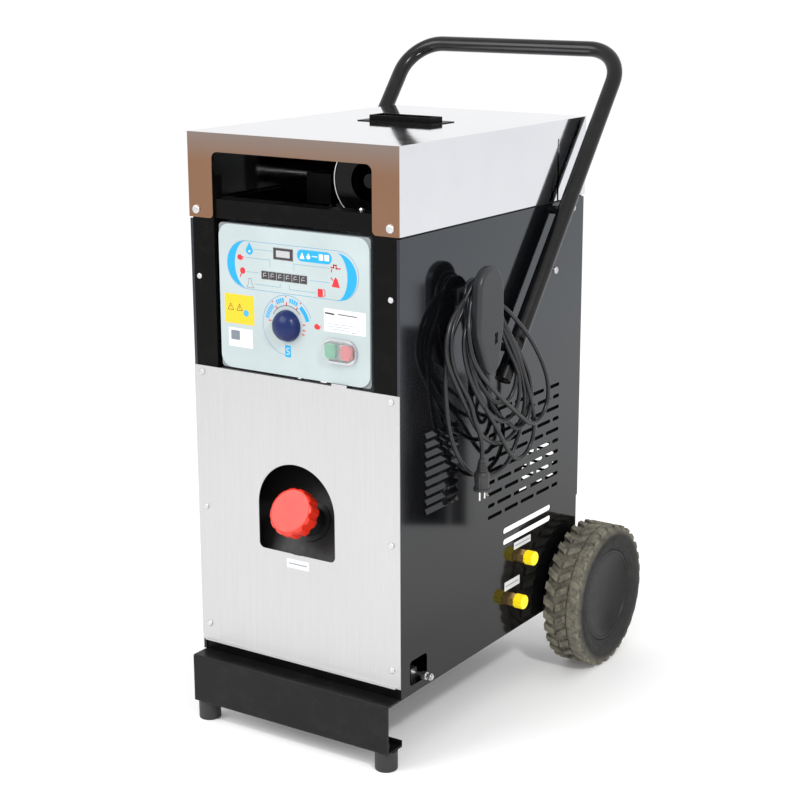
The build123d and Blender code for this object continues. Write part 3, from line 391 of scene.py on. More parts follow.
class Print:
    """Flat printed shapes of one colour on a surface, joined into one thin piece."""

    def __init__(self, name, material, place, lift):
        self.name, self.material, self.place, self.lift = name, material, place, lift
        self.mesh = bmesh.new()

    def shape(self, points):
        """A filled outline of (across, up) points, in millimetres."""
        front = [self.mesh.verts.new(self.place(u, v, self.lift)) for u, v in points]
        back = [self.mesh.verts.new(self.place(u, v, 0.0)) for u, v in points]
        self.mesh.faces.new(front)
        self.mesh.faces.new(list(reversed(back)))
        for index in range(len(points)):
            after = (index + 1) % len(points)
            self.mesh.faces.new((front[after], front[index], back[index], back[after]))

    def disc(self, u, v, radius, steps=28, stretch=1.0):
        self.shape([(u + radius * math.cos(2 * math.pi * i / steps),
                     v + radius * stretch * math.sin(2 * math.pi * i / steps)) for i in range(steps)])

    def rounded(self, u0, v0, u1, v1, radius, steps=8):
        """A rounded rectangle."""
        points = []
        corners = ((u1 - radius, v1 - radius, 0), (u0 + radius, v1 - radius, 90),
                   (u0 + radius, v0 + radius, 180), (u1 - radius, v0 + radius, 270))
        for cu, cv, start in corners:
            for step in range(steps + 1):
                turn = math.radians(start + 90 * step / steps)
                points.append((cu + radius * math.cos(turn), cv + radius * math.sin(turn)))
        self.shape(points)

    def band(self, u, v, inner, outer, start, end, steps=24):
        """Part of a ring, with angles in degrees."""
        turns = [math.radians(start + (end - start) * i / steps) for i in range(steps + 1)]
        rim = [(u + outer * math.cos(t), v + outer * math.sin(t)) for t in turns]
        hole = [(u + inner * math.cos(t), v + inner * math.sin(t)) for t in reversed(turns)]
        self.strip(rim, list(reversed(hole)))

    def strip(self, first, second):
        """Quads between two lines of points."""
        for index in range(len(first) - 1):
            self.shape([first[index], first[index + 1], second[index + 1], second[index]])

    def line(self, points, width):
        """A thin line through points."""
        for (u0, v0), (u1, v1) in zip(points, points[1:]):
            length = math.hypot(u1 - u0, v1 - v0)
            du, dv = (u1 - u0) / length * width / 2, (v1 - v0) / length * width / 2
            self.shape([(u0 - du + dv, v0 - dv - du), (u1 + du + dv, v1 + dv - du),
                        (u1 + du - dv, v1 + dv + du), (u0 - du - dv, v0 - dv + du)])

    def build(self, body="cabinet"):
        bmesh.ops.recalc_face_normals(self.mesh, faces=self.mesh.faces)
        return new_piece(self.name, self.mesh, self.material, body)


# ---------------------------------------------------------------- cord
CORD_DIAMETER = 0.009
CORD_LENGTH = 6.0
LEAD_ROUTE = [(270, 285, 600), (270, 285, 572), (273, 296, 540), (279, 318, 512), (287, 344, 492)]
TAIL_ROUTE = [(291, 192, 566), (291, 202, 534), (291, 221, 504), (291, 234, 474), (291, 234, 444)]
# Each loop, from the hook's left side down, round the bottom and up the right: (x, y, z) key places.
LOOPS = (
    ((292, 182, 758), (300, 164, 728), (306, 158, 696), (312, 163, 664), (316, 180, 636), (312, 250, 580),
     (308, 342, 517), (308, 402, 480), (308, 448, 487), (310, 470, 530), (310, 450, 590), (308, 395, 660),
     (304, 338, 712), (298, 298, 745)),
    ((282, 168, 768), (281, 137, 749), (282, 116, 716), (284, 110, 674), (286, 138, 621), (284, 183, 561),
     (280, 231, 504), (276, 289, 464), (276, 341, 450), (282, 384, 466), (292, 400, 512), (300, 380, 570),
     (304, 338, 640), (296, 298, 706)),
    ((286, 185, 755), (292, 168, 719), (296, 165, 688), (298, 185, 627), (296, 231, 556), (292, 289, 495),
     (290, 334, 440), (290, 370, 409), (292, 408, 410), (296, 434, 446), (302, 418, 506), (306, 380, 577),
     (306, 342, 645), (302, 312, 692), (296, 286, 736)),
    ((275, 186, 756), (272, 149, 710), (270, 131, 654), (268, 134, 583), (266, 156, 503), (264, 202, 437),
     (264, 263, 396), (264, 323, 383), (264, 378, 393), (266, 412, 430), (276, 420, 480), (300, 400, 536),
     (302, 374, 600), (302, 336, 664), (294, 302, 716)),
    ((288, 180, 744), (294, 156, 700), (297, 162, 649), (297, 191, 599), (294, 238, 548), (290, 291, 512),
     (292, 334, 500), (298, 366, 536), (302, 354, 600), (298, 318, 656), (290, 294, 712)),
    ((280, 184, 746), (278, 190, 690), (278, 211, 636), (280, 248, 588), (284, 290, 548), (292, 334, 542),
     (298, 358, 590), (298, 330, 648), (290, 298, 706)),
)
JOIN_UP = ((291, 366, 474), (296, 394, 480), (300, 414, 518), (303, 400, 580), (303, 356, 642),
           (297, 308, 705))
JOIN_DOWN = ((281, 172, 764), (280, 147, 742), (283, 127, 704), (286, 131, 655), (289, 160, 606))
HOOK_TOP = 790.0
STEM_STEP = 8.5
STEM_Y = 228.0
STEM_BEND = 46.0
STEM_BEND_DROP = 35.0
STEM_FRONT_X = 289.0
STEM_LAYER_LIFT = 7.5
STRANDS_PER_LAYER = 3
STEM_ANGLES = (15, 55, 95, 135)
KEY_STEPS = 8
POINTS_PER_TURN = 34


def over_stem(index):
    """Key places of the arc over the hook's stem; the strands lie side by side behind its plate."""
    x = STEM_FRONT_X - STEM_STEP * (index % STRANDS_PER_LAYER)
    middle = HOOK_TOP - STEM_BEND_DROP
    lift = STEM_LAYER_LIFT * (index // STRANDS_PER_LAYER)
    turns = [math.radians(angle) for angle in STEM_ANGLES]
    return [(x, STEM_Y + STEM_BEND * math.cos(t), middle + STEM_BEND * math.sin(t) + lift) for t in turns]


def eased(before, start, end, after, share):
    """A place on the smooth curve between start and end."""
    place = []
    for a, b, c, d in zip(before, start, end, after):
        place.append(0.5 * (2 * b + (c - a) * share + (2 * a - 5 * b + 4 * c - d) * share ** 2
                            + (3 * b - a - 3 * c + d) * share ** 3))
    return tuple(place)


def coil_points():
    """Evenly spaced places along all the loops."""
    keys = list(JOIN_UP)
    for index, loop in enumerate(LOOPS):
        keys += over_stem(index) + list(loop)
    keys += over_stem(len(LOOPS)) + list(JOIN_DOWN)
    keys = [LEAD_ROUTE[-1]] + keys + [TAIL_ROUTE[0]]
    dense = []
    for index in range(1, len(keys) - 2):
        for step in range(KEY_STEPS):
            dense.append(eased(*keys[index - 1:index + 3], step / KEY_STEPS))
    spacing = CORD_LENGTH / MM / (len(LOOPS) + 1) / POINTS_PER_TURN
    points, gone = [dense[0]], 0.0
    for start, end in zip(dense, dense[1:]):
        gone += math.dist(start, end)
        if gone >= spacing:
            points.append(end)
            gone = 0.0
    return points


def cord_points():
    """The cord's whole route: lead, loops and tail, in millimetres."""
    return list(LEAD_ROUTE) + coil_points() + TAIL_ROUTE


def make_cord(material):
    """One open NURBS spline through the whole route."""
    data = bpy.data.curves.new("mains_cord", "CURVE")
    data.dimensions = "3D"
    data.bevel_depth = CORD_DIAMETER / 2
    data.bevel_resolution = 5
    data.resolution_u = 6
    points = [spot(*p) for p in cord_points()]
    spline = data.splines.new("NURBS")
    spline.points.add(len(points) - 1)
    for knot, place in zip(spline.points, points):
        knot.co = (*place, 1)
    spline.order_u = 3
    spline.use_endpoint_u = True
    data.materials.append(material)
    cord = bpy.data.objects.new("mains_cord", data)
    bpy.context.scene.collection.objects.link(cord)
    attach(cord, "cabinet")
    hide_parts("cord_lead", "cord_coil", "cord_tail")
    return cord


cord_rubber = rubbery("cord_rubber", rgba(0.011, 0.0115, 0.013), 0.3, 0.2)
mains_cord = make_cord(cord_rubber)


# ---------------------------------------------------------------- plug
def make_plug():
    """Moulded plug: tapered sleeve with rings, waisted grip with ribs and a face for the pins."""
    top = spot(*TAIL_ROUTE[-1])
    profile = [(0, 0), (0, 6.2), (3, 6.6)]
    for ring in range(5):
        start = 4 + ring * 4.4
        size = 6.9 + ring * 0.85
        profile += [(start, size + 0.9), (start + 2.2, size + 1.1), (start + 2.6, size - 0.3),
                    (start + 4.0, size)]
    profile += [(27, 13.2), (30, 15.4), (38, 16.0), (50, 14.6), (60, 15.2), (61, 17.6), (65.4, 17.9),
                (66, 17.2), (66, 0)]
    profile = [(along * MM, radius * MM) for along, radius in profile]

    def ribs(index, turn):
        return 0.5 * MM * math.cos(turn * 14) if 24 < index < 28 else 0.0

    plug = lathe("plug_grip", profile, top, (0, 0, -1), rubbery("plug_rubber", rgba(0.03, 0.03, 0.032), 0.3),
                 steps=84, ripple=ribs, smooth=40)
    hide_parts("plug_body")
    return plug


plug_grip = make_plug()

# ---------------------------------------------------------------- wheels
RIGHT_LOW, RIGHT_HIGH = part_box("tyre_right")
WHEEL_CENTRE = (RIGHT_LOW + RIGHT_HIGH) / 2
WHEEL_RADIUS = (RIGHT_HIGH.z - RIGHT_LOW.z) / 2
WHEEL_WIDTH = RIGHT_HIGH.x - RIGHT_LOW.x
LUGS = 30
LUG_HEIGHT = 6.5 * MM


def lug(mesh, side, inner, outer, start, end, skew):
    """One tread block between two distances from the wheel's inner face and two angles."""
    corners = []
    for height, taper in ((-3.0 * MM, 0.0), (LUG_HEIGHT, 0.12)):
        ring = []
        for share_x, share_a in ((0, 0), (1, 0), (1, 1), (0, 1)):
            share_x = share_x + taper * (0.5 - share_x)
            share_a = share_a + taper * 2 * (0.5 - share_a)
            along = inner + (outer - inner) * share_x
            turn = start + (end - start) * share_a + skew * share_x
            radius = WHEEL_RADIUS - LUG_HEIGHT + height
            ring.append(mesh.verts.new((side * (RIGHT_LOW.x + along),
                                        WHEEL_CENTRE.y + radius * math.cos(turn),
                                        WHEEL_CENTRE.z + radius * math.sin(turn))))
        corners.append(ring)
    low, high = corners
    mesh.faces.new(high)
    mesh.faces.new(list(reversed(low)))
    for index in range(4):
        after = (index + 1) % 4
        mesh.faces.new((low[index], low[after], high[after], high[index]))


def make_wheel(side, label, rubber, plastic):
    """Tyre with tread blocks, rim and dished cover."""
    body = "wheel_" + label
    centre = Vector((0, WHEEL_CENTRE.y, WHEEL_CENTRE.z))
    start = RIGHT_LOW.x
    carcass = WHEEL_RADIUS - LUG_HEIGHT
    width = WHEEL_WIDTH
    outline = [
        (10, 0.1035), (2, 0.112), (0, 0.128), (1.5, 0.143), (7, carcass - 0.002), (20, carcass),
        (60, carcass), (63, carcass + 0.005), (70, WHEEL_RADIUS - 0.0005), (78, WHEEL_RADIUS - 0.0015),
        (86, WHEEL_RADIUS - 0.006), (92, 0.146), (94, 0.132), (93.5, 0.122), (91, 0.117),
        (91.5, 0.115), (90, 0.112), (84, 0.1035), (10, 0.1035),
    ]
    profile = [(start + along * MM * width / 0.094, radius) for along, radius in outline]
    mesh = bmesh.new()
    lathe_into(mesh, profile, centre, (side, 0, 0), 128)
    bmesh.ops.remove_doubles(mesh, verts=mesh.verts, dist=1e-7)
    pitch = 2 * math.pi / LUGS
    for index in range(LUGS):
        turn = index * pitch
        lug(mesh, side, 4 * MM, 30 * MM, turn, turn + pitch * 0.6, 0.10)
        lug(mesh, side, 34 * MM, 60 * MM, turn + pitch * 0.5, turn + pitch * 1.1, -0.10)
        lug(mesh, side, 64.5 * MM, 88 * MM, turn, turn + pitch * 0.66, 0.05)
    bmesh.ops.recalc_face_normals(mesh, faces=mesh.faces)
    tyre = new_piece("tyre_tread_" + label, mesh, rubber, body, 38)
    soften(tyre, 0.8 * MM, 2)
    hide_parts("tyre_" + label)

    edge = start + 78 * MM
    cover = [
        (-20, 0.0), (-20, 0.012), (-19.2, 0.03), (-17, 0.05), (-12, 0.07), (-5.5, 0.086),
        (-1.0, 0.0925), (1.0, 0.0945), (2.2, 0.0965), (4.5, 0.0975), (6, 0.0995), (6, 0.1015),
        (4, 0.1033), (-10, 0.1033), (-10, 0.0965), (-14, 0.0965), (-24, 0.06), (-26, 0.0),
    ]
    disc = lathe("wheel_disc_" + label, [(edge + a * MM, r) for a, r in cover], centre, (side, 0, 0),
                 plastic, body, 128, None, 32)
    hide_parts("wheel_cover_" + label)


def soften(piece, width, segments=2, angle=35):
    """A small rounded edge on every corner sharper than the angle."""
    bevel = piece.modifiers.new("soft_edges", "BEVEL")
    bevel.width = width
    bevel.segments = segments
    bevel.limit_method = "ANGLE"
    bevel.angle_limit = math.radians(angle)
    bevel.use_clamp_overlap = True
    bevel.harden_normals = True


rubber_tread = tyre_rubber()
wheel_plastic = moulded("wheel_plastic", rgba(0.012, 0.012, 0.0125), 0.38, 0.3, 500, Specular_IOR_Level=0.3)
for wheel_side, wheel_label in ((-1, "left"), (1, "right")):
    make_wheel(wheel_side, wheel_label, rubber_tread, wheel_plastic)

# ---------------------------------------------------------------- control panel print
PLATE_FACE_Y = (PLATE_LOW.y - ORIGIN.y) / MM
INK_LIFT = 0.12


def on_plate(x, z, lift):
    return spot(x, PLATE_FACE_Y - lift, z)


cyan = printed("ink_cyan", rgba(0.0, 0.31, 0.62))
pale_blue = printed("ink_pale_blue", rgba(0.09, 0.27, 0.42))
red_ink = printed("ink_red", rgba(0.55, 0.012, 0.02))
grey_ink = printed("ink_grey", rgba(0.16, 0.18, 0.22))
white_ink = printed("ink_white", rgba(0.66, 0.67, 0.69))
yellow_ink = printed("ink_yellow", rgba(0.72, 0.48, 0.008))
black_ink = printed("ink_black", rgba(0.02, 0.02, 0.025))


def drop_outline(u, v, radius, height, steps=24):
    """A water drop with its point up."""
    points = []
    for step in range(steps):
        turn = 2 * math.pi * step / steps
        lift = max(0.0, math.sin(turn))
        narrow = 1 - 0.75 * lift ** 1.5
        points.append((u + radius * math.cos(turn) * narrow,
                       v + radius * math.sin(turn) + (height - 2 * radius) * lift ** 2))
    return points


def flame_outline(u, v, size):
    """A flame lying on its side with its tip to the right."""
    return [(u - size, v), (u - size * 0.7, v + size * 0.55), (u, v + size * 0.75),
            (u + size * 0.5, v + size * 0.35), (u + size * 1.3, v + size * 0.15),
            (u + size * 0.6, v - size * 0.1), (u + size * 0.9, v - size * 0.4),
            (u, v - size * 0.7), (u - size * 0.7, v - size * 0.5)]


def stadium(u0, v0, u1, v1, steps=20):
    """Points round a stadium outline."""
    radius = (v1 - v0) / 2
    middle = (v0 + v1) / 2
    right = [(u1 - radius + radius * math.cos(math.radians(-90 + 180 * i / steps)),
              middle + radius * math.sin(math.radians(-90 + 180 * i / steps))) for i in range(steps + 1)]
    left = [(u0 + radius + radius * math.cos(math.radians(90 + 180 * i / steps)),
             middle + radius * math.sin(math.radians(90 + 180 * i / steps))) for i in range(steps + 1)]
    return right + left


def crescent(ink, u, v, radius, thickness, side):
    """A moon shape: thick in the middle, pointed at both ends."""
    outer, inner = [], []
    for step in range(25):
        turn = math.radians(-88 + 176 * step / 24)
        outer.append((u + side * radius * math.cos(turn), v + radius * math.sin(turn)))
        bite = thickness * math.cos(turn) ** 0.8
        inner.append((u + side * (radius * math.cos(turn) - bite), v + radius * math.sin(turn)))
    ink.strip(outer, inner)


def print_panel():
    """Everything printed on the control plate."""
    blue = Print("panel_print_cyan", cyan, on_plate, INK_LIFT)
    crescent(blue, -114, 832, 46, 19, -1)
    crescent(blue, 106, 829, 46, 22, 1)
    blue.shape(drop_outline(-104, 861, 9, 25))
    blue.rounded(12, 851, 94, 874, 11)
    knob_x, knob_z = KNOB_X, KNOB_Z
    for start, end, count in ((14, 52, 1), (60, 84, 4), (98, 122, 4), (132, 168, 7)):
        step = (end - start) / count
        for index in range(count):
            low = start + index * step
            blue.band(knob_x, knob_z, 46, 55, low + 1.2, low + step - 0.6, 8)
    blue.rounded(-21, 658, -7, 682, 2)
    blue.build()

    pale = Print("panel_print_lines", pale_blue, on_plate, INK_LIFT * 0.8)
    outline = stadium(-160, 784, 156, 879)
    pale.line(outline + outline[:1], 0.9)
    pale.band(knob_x, knob_z, 59.5, 60.6, 20, 160)
    pale.band(knob_x, knob_z, 59.5, 60.4, 160, 270)
    for points in (
        [(-92, 864), (-48, 864)], [(-114, 846), (-54, 846), (-54, 832)], [(-112, 818), (-82, 818)],
        [(-92, 795), (-30, 795), (-30, 802)], [(-8, 802), (-8, 793), (56, 793)],
        [(42, 816), (88, 816)], [(4, 832), (4, 844), (88, 844)],
    ):
        pale.line(points, 0.8)
    pale.build()

    red = Print("panel_print_red", red_ink, on_plate, INK_LIFT)
    red.shape(flame_outline(-127, 845, 8))
    red.disc(-122, 819, 6.5)
    red.line([(-126, 812), (-128, 807)], 2.5)
    red.line([(92, 846), (98, 846), (98, 851), (104, 851), (104, 845), (113, 845)], 2.6)
    red.line([(93, 842), (93, 838)], 2.4)
    red.shape([(93, 809), (112, 808), (107, 824), (102, 828), (98, 822)])
    red.line([(92, 826), (96, 822)], 2.0)
    red.rounded(60, 786, 72, 802, 1.5)
    red.line([(74, 788), (77, 790), (77, 799), (74, 802)], 1.6)
    red.shape(flame_outline(58, 727, 8))
    for angle in (8, -8, -20, 57, 92, 128, 172):
        turn = math.radians(angle)
        near, far = (41, 45) if angle > 20 else (38, 42)
        red.line([(knob_x + near * math.cos(turn), knob_z + near * math.sin(turn)),
                  (knob_x + far * math.cos(turn), knob_z + far * math.sin(turn))], 2.4)
    for angle in (56, 93, 129):
        turn = math.radians(angle)
        red.disc(knob_x + 57 * math.cos(turn), knob_z + 57 * math.sin(turn), 1.6, 12)
    red.build()

    grey = Print("panel_print_grey", grey_ink, on_plate, INK_LIFT)
    grey.line([(-112, 787), (-95, 787), (-100, 796), (-102, 805), (-107, 805), (-108, 796), (-112, 787)], 0.9)
    grey.band(knob_x, knob_z, 38.5, 40.5, 40, 150)
    grey.build()

    yellow = Print("sticker_yellow", yellow_ink, on_plate, INK_LIFT)
    yellow.rounded(-169, 711, -96, 770, 1.5)
    yellow.build()
    marks = Print("sticker_yellow_marks", black_ink, on_plate, INK_LIFT * 2)
    for u, v in ((-154, 744), (-132, 744)):
        marks.line([(u - 7, v - 6), (u + 7, v - 6), (u, v + 7), (u - 7, v - 6)], 1.1)
        marks.line([(u, v - 2), (u, v + 2)], 1.0)
    marks.build()
    sign = Print("sticker_yellow_sign", printed("ink_sign_blue", rgba(0.05, 0.35, 0.55)), on_plate,
                 INK_LIFT * 2)
    sign.disc(-116, 734, 7)
    sign.build()

    white = Print("sticker_white", white_ink, on_plate, INK_LIFT)
    white.rounded(-161, 664, -101, 702, 1)
    white.rounded(74, 721, 171, 766, 1)
    white.build()
    faint = Print("sticker_white_marks", grey_ink, on_plate, INK_LIFT * 1.6)
    faint.rounded(-155, 678, -133, 697, 2)
    for row in range(3):
        faint.line([(84 + 2 * row, 737 - row * 5), (150 - 9 * row, 737 - row * 5)], 0.7)
    faint.line([(140, 724), (146, 724)], 1.2)
    faint.build()
    dark = Print("rating_plate_marks", black_ink, on_plate, INK_LIFT * 1.6)
    dark.line([(78, 757), (97, 756)], 3.2)
    dark.line([(108, 757), (150, 756)], 1.8)
    dark.build()
    icons = Print("panel_icons_white", white_ink, on_plate, INK_LIFT * 1.8)
    icons.shape([(18, 856), (30, 856), (24, 869)])
    icons.shape(drop_outline(39, 861, 4.5, 12))
    icons.line([(48, 863), (60, 863)], 1.6)
    icons.rounded(64, 857, 74, 869, 1)
    icons.rounded(77, 857, 88, 869, 1)
    icons.disc(-104, 859, 2.4, 12)
    icons.line([(-17, 664), (-11, 664), (-11, 670), (-17, 670), (-17, 676), (-11, 676)], 1.4)
    icons.build()


KNOB_LOW, KNOB_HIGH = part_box("temperature_knob")
KNOB_X = (KNOB_LOW.x + KNOB_HIGH.x) / 2 / MM
KNOB_Z = ((KNOB_LOW.z + KNOB_HIGH.z) / 2 - ORIGIN.z) / MM
print_panel()


def window_frames(material, glass):
    """Raised rims round the display and the indicator windows, and dark lenses inside them."""
    rims = Print("window_rims", material, on_plate, 0.9)
    lenses = Print("window_segments", glass, on_plate, 1.15)
    boxes = [(-44, 850, 1, 871)] + [(-74 + 18.6 * i, 808.5, -59 + 18.6 * i, 822.5) for i in range(6)]
    for u0, v0, u1, v1 in boxes:
        corners = [(u0, v0), (u1, v0), (u1, v1), (u0, v1)]
        for start, end in zip(corners, corners[1:] + corners[:1]):
            rims.line([start, end], 1.6)
        if u1 - u0 < 20:
            lenses.line([(u0 + 4, v0 + 4), (u0 + 4, v1 - 3), (u1 - 5, v1 - 3)], 1.2)
            lenses.line([(u0 + 6, v0 + 6), (u1 - 4, v0 + 6)], 1.0)
    lenses.rounded(-38, 854, -5, 867, 1)
    rims.build()
    lenses.build()


window_frames(moulded("window_rim", rgba(0.05, 0.045, 0.05), 0.4),
              printed("segment_grey", rgba(0.42, 0.42, 0.43)))

# ---------------------------------------------------------------- knob, buttons, caps
knob_plastic = moulded("knob_plastic", rgba(0.004, 0.014, 0.085), 0.3, 0.06, 300, Specular_IOR_Level=0.28)


def make_knob():
    """Smooth domed knob with a slightly flared skirt."""
    base = Vector(((KNOB_LOW.x + KNOB_HIGH.x) / 2, KNOB_HIGH.y, (KNOB_LOW.z + KNOB_HIGH.z) / 2))
    outline = [(0, 0), (0, 31.3), (0.6, 31.5), (2, 31.4), (7.5, 30.4), (12, 28.6), (16.5, 25.6),
               (20.3, 21.3), (23.2, 15.8), (25.2, 9.2), (26, 3), (26, 0)]

    def grip(index, turn):
        return -0.5 * MM * (0.5 + 0.5 * math.cos(turn * 9)) if 3 < index < 9 else 0.0

    knob = lathe("knob_dome", [(a * MM, r * MM) for a, r in outline], base, (0, -1, 0), knob_plastic,
                 "knob", 96, grip, 60)
    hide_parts("temperature_knob")


make_knob()

# ---------------------------------------------------------------- painted shade sheets inside, and hook
BURNER_FRONT_Y = 111.0


def make_hood_details():
    """A bright rim on the burner's front, a bolt on the cross bar and dark strips of painted shade that fill
    the gaps under the hood.
    """
    chrome = machined("rim_chrome", rgba(0.8, 0.8, 0.8), 0.12)
    rim = [(1.6 * math.cos(t), 77.0 + 1.6 * math.sin(t)) for t in [math.pi * i / 6 for i in range(13)]]
    profile = [(a * MM, r * MM) for a, r in rim]
    lathe("burner_rim", profile, spot(102, BURNER_FRONT_Y, 998), (0, -1, 0), chrome, steps=96)
    head = [(0, 0), (0, 5.5), (2.5, 5.2), (4.4, 3.6), (5.0, 0)]
    lathe("bar_bolt", [(a * MM, r * MM) for a, r in head], spot(140, 39, 955), (0, 0, 1), chrome, steps=32)
    # Painted shade: two near-black strips fill the gaps under the hood's side edges.
    mesh = bmesh.new()
    for x in (-241.8, 241.8):
        matrix = Matrix.Diagonal((0.0114, 0.703, 0.0044, 1))
        bmesh.ops.create_cube(mesh, size=1.0, matrix=Matrix.Translation(spot(x, 363.5, 915.4)) @ matrix)
    new_piece("hood_gap_shade", mesh, rubbery("seal_rubber", rgba(0.006, 0.006, 0.006), 0.7))


make_hood_details()
# Each sheet of painted shade behind the right-hand vents, standing in for the dark inside: rear start, rear
# end, low, high.
VENT_SHADE_SHEETS = ((326, 469, 250, 530), (469, 640, 393, 530), (469, 640, 250, 304))
VENT_SHADE_X = (240.5, 243.0)


def make_vent_shade(material):
    """Dark sheets of painted shade behind the vents, with a window that lets light through."""
    mesh = bmesh.new()
    for y0, y1, z0, z1 in VENT_SHADE_SHEETS:
        matrix = Matrix.Diagonal((*(Vector((VENT_SHADE_X[1] - VENT_SHADE_X[0], y1 - y0, z1 - z0)) * MM), 1))
        centre = spot(sum(VENT_SHADE_X) / 2, (y0 + y1) / 2, (z0 + z1) / 2)
        bmesh.ops.create_cube(mesh, size=1.0, matrix=Matrix.Translation(centre) @ matrix)
    new_piece("vent_shade_panels", mesh, material)


# Painted shade: a near-black, matt sheet material for the dark inside behind the vents.
make_vent_shade(moulded("vent_shade_black", rgba(0.004, 0.004, 0.004), 0.9, 0.8, 200, Specular_IOR_Level=0.1))
HOOK_FACE_X = 316.0


def on_hook(y, z, lift):
    return spot(HOOK_FACE_X + lift, y, z)


# Painted shade: a near-black oval on the hook's face stands in for the dark inside its eye.
eye_shade_black = moulded("eye_shade_black", rgba(0.003, 0.003, 0.003), 0.8, Specular_IOR_Level=0.1)
hook_eye_shade = Print("hook_eye_shade", eye_shade_black, on_hook, 0.15)
hook_eye_shade.shape([(243 + 5 * math.cos(t) + 3.2 * math.sin(t), 692 + 12.5 * math.sin(t))
                for t in [2 * math.pi * i / 24 for i in range(24)]])
hook_eye_shade.build()

# ---------------------------------------------------------------- labels
PANEL_FACE_Y = 0.0


def on_front(x, z, lift):
    return spot(x, PANEL_FACE_Y - lift, z)


def on_side(y, z, lift):
    return spot(HALF_WIDTH + lift, y, z)


def label(name, place, u0, v0, u1, v1, lines):
    """A white label with a few generic printed lines."""
    paper = Print(name, white_ink, place, 0.15)
    paper.rounded(u0, v0, u1, v1, 1.2)
    paper.build()
    marks = Print(name + "_marks", grey_ink, place, 0.25)
    for row in range(lines):
        v = v1 - (v1 - v0) * (row + 1) / (lines + 1)
        marks.line([(u0 + 6, v), (u1 - 6 - 5 * row, v)], 2.0)
    marks.build()


label("front_label", on_front, -24, 225, 31, 244, 1)
label("outlet_label", on_side, 437, 183, 509, 199, 1)
label("inlet_label", on_side, 399, 100, 463, 120, 1)

# ---------------------------------------------------------------- materials of the CAD nodes
GLOSS_PANEL = gloss_panel()
BURNER_BLACK = painted("burner_black", rgba(0.003, 0.003, 0.003), 0.1, 0.1, 0.01, Specular_IOR_Level=0.2)
SATIN_BLACK = painted("satin_black", rgba(0.003, 0.0027, 0.0026), 0.3, 0.3, 0.008, Specular_IOR_Level=0.07)
BRACKET_GREY = painted("bracket_grey", rgba(0.006, 0.006, 0.0062), 0.36, 0.4, 0.02, Specular_IOR_Level=0.17)
HANDLE_BLACK = painted("handle_black", rgba(0.003, 0.003, 0.0035), 0.2, 0.25, 0.015, Specular_IOR_Level=0.32)
ZINC = machined("zinc", rgba(0.62, 0.62, 0.63), 0.32)
STEEL_SHEET = machined("plain_sheet", rgba(0.5, 0.5, 0.5), 0.45)
BRASS = machined("brass", rgba(0.72, 0.47, 0.17), 0.3)
CASTING = machined("casting", rgba(0.5, 0.5, 0.5), 0.5, marks=0.6)
